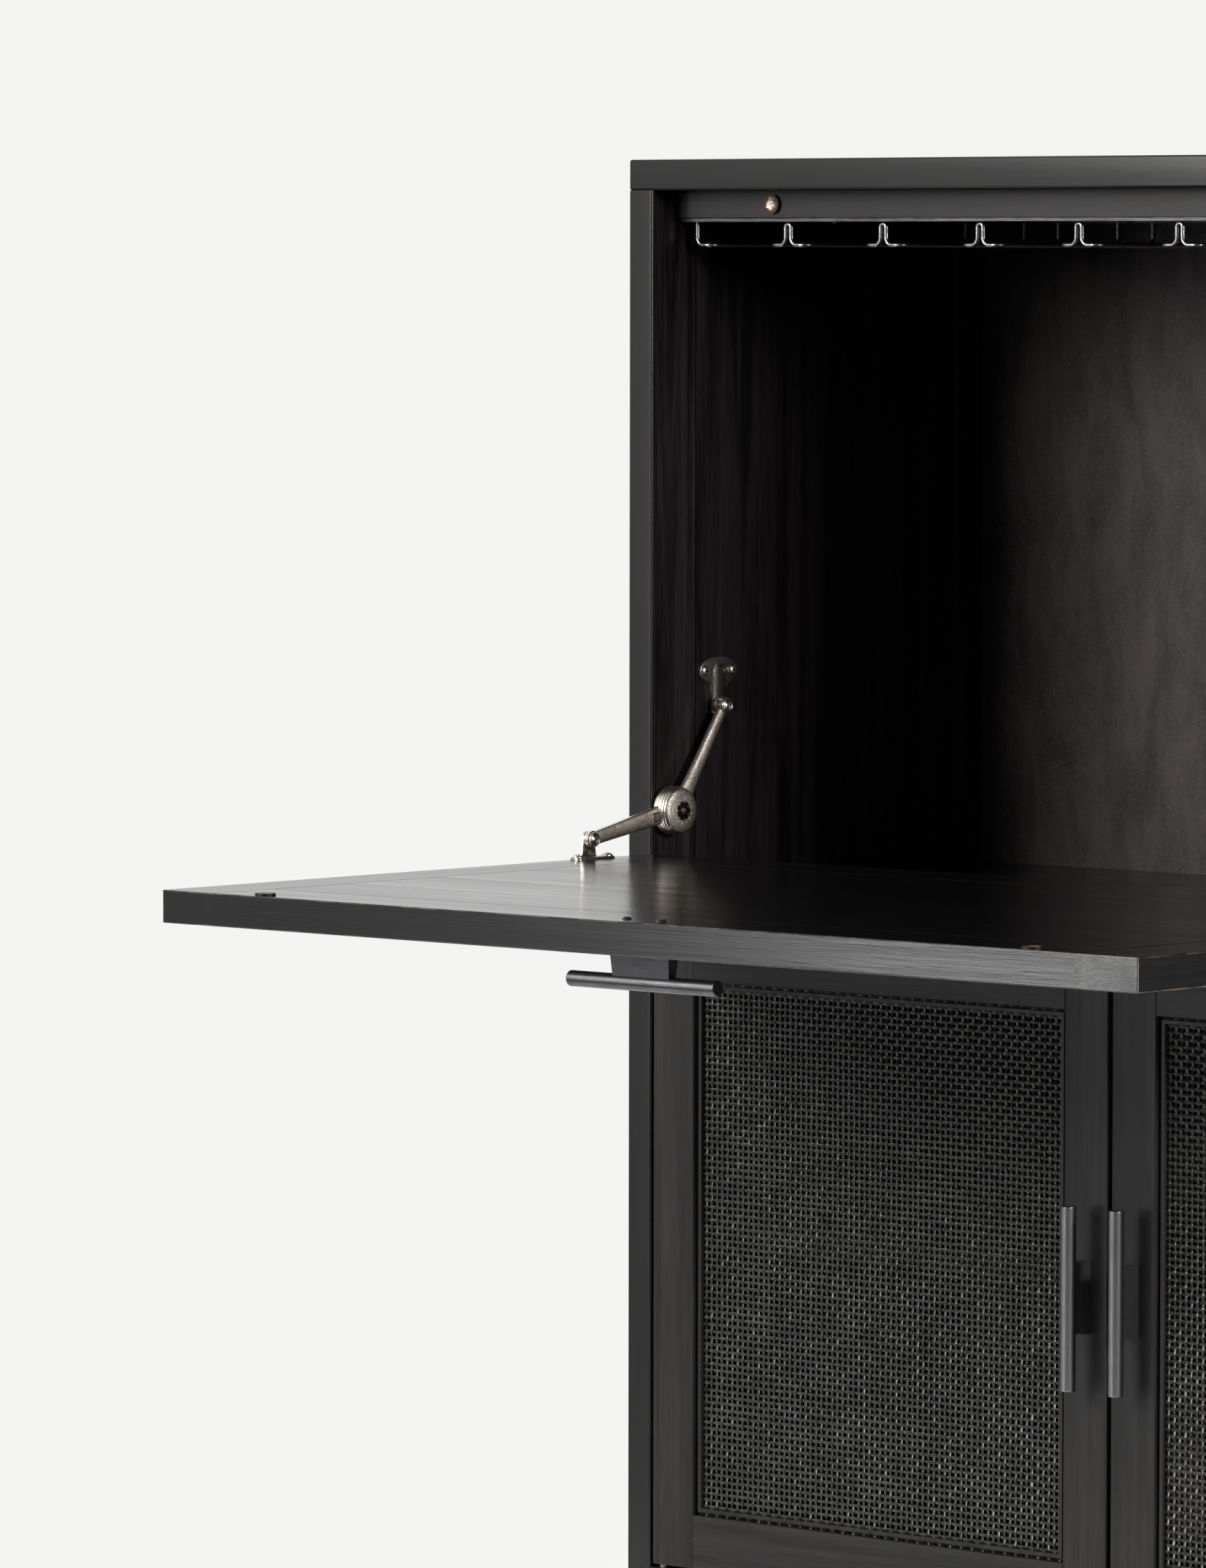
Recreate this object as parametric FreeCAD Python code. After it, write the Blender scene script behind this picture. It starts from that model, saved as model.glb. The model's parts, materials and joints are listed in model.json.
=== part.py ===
"""Bar armoire: a black-stained case on four posts, with a drop leaf that folds down on friction
stays to make a bar shelf, a wire rack for stemmed glasses, and two cane doors below.

Millimetres. X runs across the width, Y from front to back, Z up from the floor. The leaf is
modelled open and the doors closed. Depths in this file are measured behind the front plane.
"""
import FreeCAD, Part
import math
import os

V = FreeCAD.Vector

# How far a cutter runs past the wood, and how near two lengths count as equal
overcut = 1.0
tolerance = 1e-6

# Case
case_width = 1016.0
case_depth = 440.0
top_thickness = 25.0
post_thickness = 25.0
post_depth = 55.0
side_thickness = 18.0
deck_thickness = 28.0
bottom_thickness = 25.0
bar_opening_height = 568.0
cupboard_opening_height = 532.0
leg_clearance = 222.0
edge_radius = 2.0

# Back panel, let into rebates in the rear posts
back_thickness = 9.0
back_recess = 11.0
back_lap = 10.0
back_play = 0.5

# Case joinery
post_tenon_thickness = 12.0
post_tenon_width = 34.0
post_tenon_length = 14.0
side_tongue = 8.0
side_tongue_thickness = 8.0
housing_depth = 6.0
housing_stop = 18.0
rail_tenon_length = 10.0
rail_tenon_thickness = 10.0
rail_tenon_shoulder = 4.0

# Foot glides
glide_radius = 9.0
glide_height = 4.0

# Rail under the top, and the cleat behind it that carries the back of the glass rack
rail_margin = 3.0
rail_thickness = 20.0
cleat_setback = 48.0

# Shelf and its pins
shelf_thickness = 20.0
shelf_height = 262.0
shelf_setback = 48.0
shelf_play = 1.5
shelf_pin_radius = 3.0
shelf_pin_length = 24.0
shelf_pin_bore = 12.0
shelf_pin_clearance = 0.1
shelf_pin_inset = 40.0
shelf_hole_pitch = 32.0
shelf_hole_steps = 2

# Glass rack
rack_bar_width = 14.0
rack_bar_thickness = 3.0
rack_bar_play = 2.0
rack_wire_radius = 2.0
rack_pitch = 101.0
rack_first_wire = 11.0
rack_drop = 19.0
rack_flare = 18.5
rack_neck = 2.8
rack_bend = 6.0

# Drop leaf
leaf_thickness = 25.5
leaf_hinge_gap = 3.0
leaf_top_gap = 2.5
leaf_side_gap = 2.0
leaf_stile_width = 57.0
leaf_rail_width = 64.0
leaf_tongue = 9.0
leaf_tongue_thickness = 8.0
leaf_seam = 1.2
leaf_seam_depth = 1.6
leaf_rail_tenon = 24.0
leaf_rail_tenon_shoulder = 12.0

# Butt hinges of the leaf
hinge_end_inset = 141.0
hinge_length = 64.0
hinge_knuckles = 5
hinge_knuckle_gap = 0.4
hinge_barrel_radius = 4.0
hinge_pin_radius = 2.0
hinge_plate_thickness = 2.0
hinge_plate_margin = 3.5
hinge_room = 0.4
pin_clearance = 0.05

# Magnets under the top and strike discs on the leaf
catch_end_inset = 102.0
catch_radius = 8.0
strike_edge = 1.0
strike_thickness = 2.0
magnet_proud = 3.0
magnet_depth = 6.0
catch_dish = 0.8
catch_dish_radius = 5.0
catch_dish_floor = 2.5
catch_gap = 0.5

# Bar handles, one on the leaf and one on each door
handle_bar_radius = 6.0
handle_bar_length = 146.0
handle_bar_ease = 1.0
handle_standoff = 21.0
handle_stem_width = 55.0
handle_stem_thickness = 7.0
handle_foot_width = 58.0
handle_foot_thickness = 11.0
handle_screw_spread = 34.0
handle_screw_grip = 10.5
leaf_handle_inset = 20.0

# Screws
screw_head_radius = 4.0
screw_head_height = 1.8
screw_crown_radius = 2.4
screw_shank_radius = 1.8
screw_length = 14.0
screw_slot = 0.9
screw_clearance = 0.1

# Friction stays: places of their pivots and knuckles, and the size of their arms
stay_wall_pivot_depth = 75.0
stay_wall_pivot_height = 144.5
stay_leaf_pivot_reach = 80.5
stay_leaf_pivot_height = 16.0
stay_knuckle_depth = 19.0
stay_knuckle_height = 60.5
stay_disc_radius = 20.0
stay_disc_thickness = 7.8
stay_disc_crown = 2.5
stay_disc_gap = 0.3
stay_disc_offset = 3.0
stay_rivet_radius = 2.5
stay_cap_radius = 6.0
stay_cap_crown_radius = 4.2
stay_cap_thickness = 2.0
stay_eye_radius = 7.0
stay_side_play = 0.3
stay_arm_thickness = 4.8
stay_upper_arm_eye_width = 12.0
stay_upper_arm_disc_width = 14.0
stay_lower_arm_eye_width = 11.5
stay_lower_arm_disc_width = 17.0
stay_plate_thickness = 2.0
stay_boss_radius = 7.5
stay_boss_height = 1.2

# Wall bracket of a stay, measured from the line through its two screws
wall_plate_half_width = 23.0
wall_plate_rise = 11.0
wall_plate_fall = 14.0
wall_plate_hip = 19.8
wall_plate_hip_fall = 8.4
wall_screw_spread = 34.0
wall_screw_rise = 28.5
wall_tongue_width = 13.0
wall_tongue_offset = 3.5
wall_tongue_forward = 6.0
wall_rib_width = 2.5
wall_rib_height = 1.6

# Leaf bracket of a stay
leaf_bracket_offset = 3.0
leaf_bracket_width = 16.0
leaf_bracket_length = 52.0
leaf_bracket_shift = 4.0
leaf_bracket_screw_spread = 35.0
leaf_bracket_ear_foot = 18.0
leaf_bracket_corner = 4.0

# Cane doors
door_thickness = 22.0
door_side_gap = 3.0
door_centre_gap = 4.0
door_end_gap = 3.0
door_stile_width = 44.0
door_rail_width = 44.0
door_edge_radius = 1.5
door_tenon_length = 28.0
door_tenon_thickness = 8.0
door_tenon_shoulder = 10.0
cane_lip = 6.0
cane_lap = 7.0
cane_thickness = 1.6
bead_width = 3.0
bead_height = 3.0
bead_gap = 3.0
retainer_thickness = 8.0
door_handle_drop = 6.0

# Pivot hinges of the doors
pivot_edge_inset = 8.0
pivot_face_inset = 6.0
pivot_pin_radius = 2.25
pivot_pin_length = 10.0
pivot_bush_radius = 3.75
pivot_plate_margin = 4.5
pivot_plate_width = 9.0
pivot_plate_thickness = 2.5
pivot_collar_radius = 4.0
pivot_collar_play = 0.1

# Magnetic catch of the doors
door_catch_length = 44.0
door_catch_depth = 14.0
door_catch_height = 12.0
door_strike_width = 16.0
door_strike_inset = 2.0
door_strike_thickness = 1.5
door_strike_gap = 0.3

# Levels and places that follow from the sizes above
half_width = case_width / 2
inner_half = half_width - post_thickness
bottom_top = leg_clearance + bottom_thickness
deck_bottom = bottom_top + cupboard_opening_height
deck_top = deck_bottom + deck_thickness
bar_top = deck_top + bar_opening_height
case_height = bar_top + top_thickness
back_face = case_depth - back_recess - back_thickness

leaf_length = bar_opening_height - leaf_hinge_gap - leaf_top_gap
leaf_half = inner_half - leaf_side_gap
hinge_height = deck_top + leaf_hinge_gap / 2
leaf_top = hinge_height + leaf_thickness
leaf_reach = leaf_hinge_gap / 2 + leaf_length
front_y = (leaf_reach - case_depth) / 2

hinge_plate_width = leaf_thickness - hinge_plate_margin
hinge_spread = leaf_half - hinge_end_inset

catch_spread = leaf_half - catch_end_inset
strike_inset = catch_radius + strike_edge
catch_height = bar_top - leaf_top_gap - strike_inset
rail_setback = leaf_thickness + strike_thickness + catch_gap + magnet_proud
rail_bottom = catch_height - catch_radius - rail_margin
cleat_depth = back_face - cleat_setback - rail_thickness
rack_channels = int((2 * inner_half - 2 * rack_first_wire) / rack_pitch)

door_bottom = bottom_top + door_end_gap
door_top = deck_bottom - door_end_gap
door_outer = inner_half - door_side_gap
door_inner = door_centre_gap / 2
pivot_x = door_outer - pivot_edge_inset
pivot_plate_end = door_outer - door_stile_width + pivot_plate_margin

X_AXIS = V(1, 0, 0)
Y_AXIS = V(0, 1, 0)
Z_AXIS = V(0, 0, 1)


def at(x, depth, z):
    """A point given by its depth behind the front plane."""
    return V(x, front_y + depth, z)


def block(x_range, depth_range, z_range):
    """A square-edged board between two widths, two depths and two heights."""
    x0, x1 = sorted(x_range)
    d0, d1 = sorted(depth_range)
    z0, z1 = sorted(z_range)
    return Part.makeBox(x1 - x0, d1 - d0, z1 - z0, at(x0, d0, z0))


def leaf_block(x_range, from_hinge, above_face):
    """A board of the open leaf, from its hinged edge outwards and up from its outer face."""
    near = -leaf_hinge_gap / 2 - from_hinge[0]
    far = -leaf_hinge_gap / 2 - from_hinge[1]
    heights = (hinge_height + above_face[0], hinge_height + above_face[1])
    return block(x_range, (near, far), heights)


def leaf_point(x, from_hinge, above_face):
    """A point of the open leaf, from its hinged edge and above its outer face."""
    return at(x, -leaf_hinge_gap / 2 - from_hinge, hinge_height + above_face)


def rod(start, direction, radius, length):
    """A round bar from a point along a direction."""
    return Part.makeCylinder(radius, length, start, direction)


def eased(shape, radius):
    """A board with all its arrises rounded."""
    return shape.makeFillet(radius, shape.Edges)


def eased_along(shape, radius, direction):
    """A board with only the arrises that run along one direction rounded."""
    chosen = []
    for edge in shape.Edges:
        run = edge.Vertexes[-1].Point.sub(edge.Vertexes[0].Point)
        if run.Length > 0 and abs(abs(run.normalize().dot(direction)) - 1) < tolerance:
            chosen.append(edge)
    return shape.makeFillet(radius, chosen)


def joined(shapes):
    """One solid made of several that touch or overlap."""
    whole = shapes[0].fuse(shapes[1:])
    return whole.removeSplitter()


def mirrored(shape):
    """The same piece on the other side of the middle plane."""
    return shape.mirror(V(0, 0, 0), X_AXIS)


def screw(seat, outward, length):
    """A screw with a low domed head on a seat, its shank running the other way."""
    shank = rod(seat, outward.negative(), screw_shank_radius, length)
    head = Part.makeCone(screw_head_radius, screw_crown_radius, screw_head_height, seat, outward)
    across = Y_AXIS if abs(outward.dot(Y_AXIS)) < 0.5 else X_AXIS
    side = outward.cross(across)
    slot = Part.makeBox(2 * screw_head_radius, screw_slot, screw_slot)
    turn = FreeCAD.Rotation(across, side, outward, "XYZ")
    low = seat + outward * (screw_head_height - screw_slot)
    corner = low - across * screw_head_radius - side * (screw_slot / 2)
    slot.Placement = FreeCAD.Placement(corner, turn)
    return joined([shank, head]).cut(slot)


def screw_hole(seat, outward, length):
    """The hole that such a screw passes into."""
    start = seat + outward * overcut
    bore_length = overcut + length + screw_clearance
    return rod(start, outward.negative(), screw_shank_radius + screw_clearance, bore_length)


def deck_tongue(side, z_range):
    """The end of a fixed shelf that is housed in one side of the case."""
    x_range = (side * inner_half, side * (inner_half + housing_depth))
    return block(x_range, (housing_stop, back_face), z_range)


def fixed_shelf(z_range):
    """A full-width board housed in both sides of the case."""
    board = block((-inner_half, inner_half), (0, back_face), z_range)
    return joined([board, deck_tongue(-1, z_range), deck_tongue(1, z_range)])


def side_housings(side):
    """What the deck and the bottom take out of one side of the case."""
    deck_end = deck_tongue(side, (deck_bottom, deck_top))
    bottom_end = deck_tongue(side, (leg_clearance, bottom_top))
    return [deck_end, bottom_end]


def post_tenon(side, depth_middle):
    """The tenon on top of a post, which fits a mortise in the top panel."""
    middle = side * (half_width - post_thickness / 2)
    x_range = (middle - post_tenon_thickness / 2, middle + post_tenon_thickness / 2)
    d_range = (depth_middle - post_tenon_width / 2, depth_middle + post_tenon_width / 2)
    return block(x_range, d_range, (bar_top, bar_top + post_tenon_length))


def side_panel_tongue(side):
    """The long tongue of a side panel, through to both posts."""
    middle = side * (inner_half + side_thickness / 2)
    x_range = (middle - side_tongue_thickness / 2, middle + side_tongue_thickness / 2)
    d_range = (post_depth - side_tongue, case_depth - post_depth + side_tongue)
    return block(x_range, d_range, (leg_clearance, bar_top))


def rail_tenon(side, depth_start):
    """The tenon at one end of a rail under the top."""
    spare = (rail_thickness - rail_tenon_thickness) / 2
    x_range = (side * inner_half, side * (inner_half + rail_tenon_length))
    d_range = (depth_start + spare, depth_start + spare + rail_tenon_thickness)
    return block(x_range, d_range, (rail_bottom + rail_tenon_shoulder, bar_top - rail_tenon_shoulder))


def shelf_pin_places():
    """Depths of the two shelf pins on each side."""
    front = shelf_setback + shelf_pin_inset
    rear = back_face - shelf_pin_inset
    return [front, rear]


def shelf_pin_level(step):
    """Height of a shelf pin's middle, some holes above or below the one in use."""
    return bottom_top + shelf_height - shelf_pin_radius + step * shelf_hole_pitch


def shelf_pin_holes(side):
    """Two rows of holes in one side, so that the shelf can be set higher or lower."""
    holes = []
    bore = shelf_pin_radius + shelf_pin_clearance
    for depth in shelf_pin_places():
        for step in range(-shelf_hole_steps, shelf_hole_steps + 1):
            mouth = at(side * inner_half, depth, shelf_pin_level(step))
            holes.append(rod(mouth, X_AXIS * side, bore, shelf_pin_bore))
    return holes


def side_cuts(side):
    """Everything that is cut into one side of the case, through panel and posts alike."""
    seats = wall_screw_seats(side)
    screw_holes = [screw_hole(seat, X_AXIS * -side, screw_length) for seat in seats]
    return side_housings(side) + [rail_tenon(side, rail_setback)] + shelf_pin_holes(side) + screw_holes


def side_panel(side):
    """A side panel, flush inside with the posts that hold it."""
    x_range = (side * inner_half, side * (inner_half + side_thickness))
    d_range = (post_depth, case_depth - post_depth)
    panel = joined([block(x_range, d_range, (leg_clearance, bar_top)), side_panel_tongue(side)])
    return panel.cut(side_cuts(side))


def front_post(side):
    """A front post: leg below, edge of the case above."""
    x_range = (side * inner_half, side * half_width)
    post = eased_along(block(x_range, (0, post_depth), (glide_height, bar_top)), edge_radius, Z_AXIS)
    post = joined([post, post_tenon(side, post_depth / 2)])
    return post.cut([side_panel_tongue(side)] + side_cuts(side))


def rear_post(side):
    """A rear post, rebated for the back panel."""
    x_range = (side * inner_half, side * half_width)
    d_range = (case_depth - post_depth, case_depth)
    post = eased_along(block(x_range, d_range, (glide_height, bar_top)), edge_radius, Z_AXIS)
    post = joined([post, post_tenon(side, case_depth - post_depth / 2)])
    rebate_x = (side * (inner_half - overcut), side * (inner_half + back_lap))
    rebate = block(rebate_x, (back_face, case_depth + overcut), (leg_clearance, bar_top))
    return post.cut([side_panel_tongue(side), rebate] + side_cuts(side))


def top_panel():
    """The top, flush with the posts all round and mortised for them."""
    board = block((-half_width, half_width), (0, case_depth), (bar_top, case_height))
    board = eased(board, edge_radius)
    mortises = []
    for side in (-1, 1):
        mortises.append(post_tenon(side, post_depth / 2))
        mortises.append(post_tenon(side, case_depth - post_depth / 2))
    return board.cut(mortises)


def back_panel():
    """One thin panel behind the bar and the cupboard."""
    reach = inner_half + back_lap - back_play
    return block((-reach, reach), (back_face, back_face + back_thickness), (leg_clearance, bar_top))


def rail_under_top(depth_start, end_tenons):
    """A rail that fills the width right under the top."""
    d_range = (depth_start, depth_start + rail_thickness)
    rail = block((-inner_half, inner_half), d_range, (rail_bottom, bar_top))
    if end_tenons:
        rail = joined([rail, rail_tenon(-1, depth_start), rail_tenon(1, depth_start)])
    return rail


def magnet(x):
    """A round magnet let into the rail, with a dished face."""
    face = at(x, rail_setback - magnet_proud, catch_height)
    body = rod(face, Y_AXIS, catch_radius, magnet_proud + magnet_depth)
    dish = Part.makeCone(catch_dish_radius, catch_dish_floor, catch_dish, face, Y_AXIS)
    return body.cut(dish)


def upper_front_rail():
    """The rail that the closed leaf meets, bored for its two magnets and the rack screws."""
    rail = rail_under_top(rail_setback, True)
    cuts = []
    for x in (-catch_spread, catch_spread):
        mouth = at(x, rail_setback, catch_height)
        cuts.append(rod(mouth, Y_AXIS, catch_radius + pin_clearance, magnet_depth + pin_clearance))
    for seat in rack_screw_seats(rail_setback):
        cuts.append(screw_hole(seat, Z_AXIS.negative(), screw_length))
    return rail.cut(cuts)


def rack_cleat():
    """The cleat under the top that carries the back of the rack."""
    cuts = []
    for seat in rack_screw_seats(cleat_depth):
        cuts.append(screw_hole(seat, Z_AXIS.negative(), screw_length))
    return rail_under_top(cleat_depth, False).cut(cuts)


def rack_bar_middle(depth_start):
    """Depth of a rack bar's centre line, in the middle of the rail that it is screwed to."""
    return depth_start + rail_thickness / 2


def rack_channel_middle(channel):
    """Where one channel of the rack has its middle, counted from the left."""
    return -inner_half + rack_first_wire + (channel + 0.5) * rack_pitch


def rack_screw_seats(depth_start):
    """Where the screws of one rack bar seat: at its middle channel and one in from each end."""
    seats = []
    for channel in (1, rack_channels // 2, rack_channels - 2):
        middle = rack_channel_middle(channel)
        seats.append(at(middle, rack_bar_middle(depth_start), rail_bottom - rack_bar_thickness))
    return seats


def rack_bar(depth_start):
    """A flat bar screwed up under a rail."""
    reach = inner_half - rack_bar_play
    middle = rack_bar_middle(depth_start)
    d_range = (middle - rack_bar_width / 2, middle + rack_bar_width / 2)
    bar = block((-reach, reach), d_range, (rail_bottom - rack_bar_thickness, rail_bottom))
    seats = rack_screw_seats(depth_start)
    return bar.cut([screw_hole(seat, Z_AXIS.negative(), screw_length) for seat in seats])


def rounded_path(points, radii):
    """A wire of straight runs with a tangent arc at each corner."""
    pieces = []
    start = points[0]
    for before, corner, after, radius in zip(points, points[1:], points[2:], radii):
        back = (before - corner).normalize()
        ahead = (after - corner).normalize()
        half_turn = back.getAngle(ahead) / 2
        reach = radius / math.tan(half_turn)
        to_middle = (back + ahead).normalize()
        arc_start = corner + back * reach
        arc_end = corner + ahead * reach
        arc_middle = corner + to_middle * (radius / math.sin(half_turn) - radius)
        if (arc_start - start).Length > tolerance:
            pieces.append(Part.LineSegment(start, arc_start).toShape())
        pieces.append(Part.Arc(arc_start, arc_middle, arc_end).toShape())
        start = arc_end
    pieces.append(Part.LineSegment(start, points[-1]).toShape())
    return Part.Wire(pieces)


def bent_wire(points, radii):
    """Round wire bent along a path."""
    path = rounded_path(points, radii)
    first_run = (points[1] - points[0]).normalize()
    circle = Part.Circle(points[0], first_run, rack_wire_radius)
    section = Part.Wire([circle.toShape()])
    return path.makePipeShell([section], True, False)


def rack_half(x, way):
    """Points of one runner, from the rear bar forward to the neck under the front bar."""
    run_x = x + way * rack_flare
    neck_x = x + way * rack_neck
    top = rail_bottom - rack_bar_thickness
    low = top - rack_drop
    front = rack_bar_middle(rail_setback)
    rear = rack_bar_middle(cleat_depth)
    crest = top - rack_wire_radius
    return [
        at(run_x, rear, top),
        at(run_x, rear, low),
        at(run_x, front, low),
        at(neck_x, front, low),
        at(neck_x, front, crest),
    ]


def rack_loop(x):
    """A hairpin of wire: up, over and down under the front bar, with a runner to each side."""
    left = rack_half(x, -1)
    right = rack_half(x, 1)
    points = left + right[::-1]
    bends = [rack_bend] * 3
    return bent_wire(points, bends + [rack_neck] * 2 + bends)


def rack_end_wire(x, way):
    """A single runner at one end of the rack, its neck square up to the front bar."""
    points = rack_half(x, way)
    points[-1] = V(points[-1].x, points[-1].y, rail_bottom - rack_bar_thickness)
    return bent_wire(points, [rack_bend] * 3)


def rack_runners():
    """All the bent wires of the rack, a hairpin between each two channels."""
    first = -inner_half + rack_first_wire
    last = first + rack_channels * rack_pitch
    wires = [rack_end_wire(first, 1)]
    for channel in range(1, rack_channels):
        wires.append(rack_loop(first + channel * rack_pitch))
    wires.append(rack_end_wire(last, -1))
    return wires


def hinge_places():
    """Where the three butt hinges of the leaf have their middles."""
    return [-hinge_spread, 0.0, hinge_spread]


def barrel_notch(x):
    """The round channel that a hinge barrel turns in."""
    length = hinge_length + 2 * hinge_room
    start = at(x - length / 2, 0, hinge_height)
    return rod(start, X_AXIS, hinge_barrel_radius + hinge_room, length)


def knuckle_span(x, index):
    """The stretch of one knuckle along the barrel."""
    step = hinge_length / hinge_knuckles
    start = x - hinge_length / 2 + index * step
    return (start + hinge_knuckle_gap / 2, start + step - hinge_knuckle_gap / 2)


def knuckle(x, index):
    """One ring of a hinge barrel, not yet bored."""
    start, end = knuckle_span(x, index)
    return rod(at(start, 0, hinge_height), X_AXIS, hinge_barrel_radius, end - start)


def hinge_bore(x):
    """The bore of a hinge barrel."""
    start = at(x - hinge_length, 0, hinge_height)
    return rod(start, X_AXIS, hinge_pin_radius + pin_clearance, 2 * hinge_length)


def deck_hinge_plate(x):
    """The half of a hinge that is let into the deck."""
    clear = hinge_barrel_radius + hinge_room
    z_range = (deck_top - hinge_plate_thickness, deck_top)
    span = (x - hinge_length / 2, x + hinge_length / 2)
    pieces = [block(span, (clear, hinge_plate_width), z_range)]
    for index in range(0, hinge_knuckles, 2):
        pieces.append(block(knuckle_span(x, index), (0, clear), z_range))
        pieces.append(knuckle(x, index))
    return joined(pieces).cut(hinge_bore(x))


def deck_plate_recess(x):
    """What the deck's half of a hinge takes out of the deck."""
    span = (x - hinge_length / 2, x + hinge_length / 2)
    return block(span, (0, hinge_plate_width), (deck_top - hinge_plate_thickness, deck_top + overcut))


def leaf_hinge_plate(x):
    """The half of a hinge that is let into the hinged edge of the leaf."""
    clear = hinge_barrel_radius + hinge_room
    thickness = (0, hinge_plate_thickness)
    span = (x - hinge_length / 2, x + hinge_length / 2)
    pieces = [leaf_block(span, thickness, (clear, hinge_plate_width))]
    for index in range(1, hinge_knuckles, 2):
        pieces.append(leaf_block(knuckle_span(x, index), thickness, (0, clear)))
        pieces.append(knuckle(x, index))
    return joined(pieces).cut(hinge_bore(x))


def leaf_plate_recess(x):
    """What the leaf's half of a hinge takes out of the leaf."""
    span = (x - hinge_length / 2, x + hinge_length / 2)
    return leaf_block(span, (-overcut, hinge_plate_thickness), (0, hinge_plate_width))


def hinge_pin(x):
    """The pin of one hinge."""
    return rod(at(x - hinge_length / 2, 0, hinge_height), X_AXIS, hinge_pin_radius, hinge_length)


def deck():
    """The fixed shelf between bar and cupboard."""
    cuts = []
    for x in hinge_places():
        cuts.append(barrel_notch(x))
        cuts.append(deck_plate_recess(x))
    for side in (-1, 1):
        cuts.append(pivot_plate(side, (deck_bottom, deck_bottom + pivot_plate_thickness)))
    return fixed_shelf((deck_bottom, deck_top)).cut(cuts)


def bottom_panel():
    """The bottom of the cupboard."""
    cuts = []
    for side in (-1, 1):
        cuts.append(pivot_plate(side, (bottom_top - pivot_plate_thickness, bottom_top)))
    return fixed_shelf((leg_clearance, bottom_top)).cut(cuts)


def shelf():
    """The loose shelf in the cupboard."""
    reach = inner_half - shelf_play
    low = bottom_top + shelf_height
    board = block((-reach, reach), (shelf_setback, back_face - shelf_play), (low, low + shelf_thickness))
    return eased_along(board, edge_radius, X_AXIS)


def shelf_pins():
    """Four round pins under the shelf."""
    pins = []
    for side in (-1, 1):
        for depth in shelf_pin_places():
            inner_end = at(side * (inner_half + shelf_pin_bore), depth, shelf_pin_level(0))
            pins.append(rod(inner_end, X_AXIS * -side, shelf_pin_radius, shelf_pin_length))
    return pins


def foot_glides():
    """A round glide under each post."""
    glides = []
    for side in (-1, 1):
        for depth in (post_depth / 2, case_depth - post_depth / 2):
            low = at(side * (half_width - post_thickness / 2), depth, 0)
            glides.append(rod(low, Z_AXIS, glide_radius, glide_height))
    return glides


def leaf_stile(side):
    """A stile of the leaf, running its whole length and grooved for rails and panel."""
    inner = leaf_half - leaf_stile_width
    stile = leaf_block((side * inner, side * leaf_half), (0, leaf_length), (0, leaf_thickness))
    stile = eased_along(stile, edge_radius / 2, Y_AXIS)
    cuts = [leaf_panel_tongue()]
    for end in (0, 1):
        cuts.append(leaf_rail_tenon_block(side, end))
    for seat in leaf_bracket_screw_seats(side):
        cuts.append(screw_hole(seat, Z_AXIS, screw_length))
    return stile.cut(cuts)


def leaf_rail_span(end):
    """The stretch of the hinged rail, or of the rail at the free edge."""
    if end == 0:
        return (0, leaf_rail_width)
    return (leaf_length - leaf_rail_width, leaf_length)


def leaf_rail_tenon_block(side, end):
    """The tenon of a leaf rail in one stile."""
    inner = leaf_half - leaf_stile_width
    span = leaf_rail_span(end)
    along = (span[0] + leaf_rail_tenon_shoulder, span[1] - leaf_rail_tenon_shoulder)
    middle = leaf_thickness / 2
    thick = (middle - leaf_tongue_thickness / 2, middle + leaf_tongue_thickness / 2)
    return leaf_block((side * inner, side * (inner + leaf_rail_tenon)), along, thick)


def leaf_rail(end):
    """A rail of the leaf between the stiles."""
    inner = leaf_half - leaf_stile_width
    rail = leaf_block((-inner, inner), leaf_rail_span(end), (0, leaf_thickness))
    tenons = [leaf_rail_tenon_block(side, end) for side in (-1, 1)]
    return joined([rail] + tenons).cut(leaf_panel_tongue())


def leaf_rear_rail():
    """The hinged rail of the leaf, cut for its hinges."""
    cuts = []
    for x in hinge_places():
        cuts.append(barrel_notch(x))
        cuts.append(leaf_plate_recess(x))
    return leaf_rail(0).cut(cuts)


def leaf_front_rail():
    """The rail at the free edge of the leaf, bored for the handle screws."""
    return leaf_rail(1).cut(leaf_handle_bores())


def leaf_panel_tongue():
    """The edge of the leaf's panel that runs in the grooves of its frame."""
    inner = leaf_half - leaf_stile_width + leaf_tongue
    along = (leaf_rail_width - leaf_tongue, leaf_length - leaf_rail_width + leaf_tongue)
    middle = leaf_thickness / 2
    thick = (middle - leaf_tongue_thickness / 2, middle + leaf_tongue_thickness / 2)
    return leaf_block((-inner, inner), along, thick)


def leaf_panel():
    """The flush panel of the leaf, with a thin seam round it on both faces."""
    inner = leaf_half - leaf_stile_width
    along = (leaf_rail_width, leaf_length - leaf_rail_width)
    field = leaf_block((-inner, inner), along, (0, leaf_thickness))
    seam_x = inner - leaf_seam
    seam_along = (along[0] + leaf_seam, along[1] - leaf_seam)
    keep = leaf_block((-seam_x, seam_x), seam_along, (0, leaf_thickness))
    core = leaf_block((-inner, inner), along, (leaf_seam_depth, leaf_thickness - leaf_seam_depth))
    return joined([field.common(keep), core, leaf_panel_tongue()])


def strike(x):
    """A round strike disc near the free edge of the leaf, with a dished face."""
    seat = leaf_point(x, leaf_length - strike_inset, leaf_thickness)
    disc = rod(seat, Z_AXIS, catch_radius, strike_thickness)
    face = seat + Z_AXIS * strike_thickness
    dish = Part.makeCone(catch_dish_radius, catch_dish_floor, catch_dish, face, Z_AXIS.negative())
    return disc.cut(dish)


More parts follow.
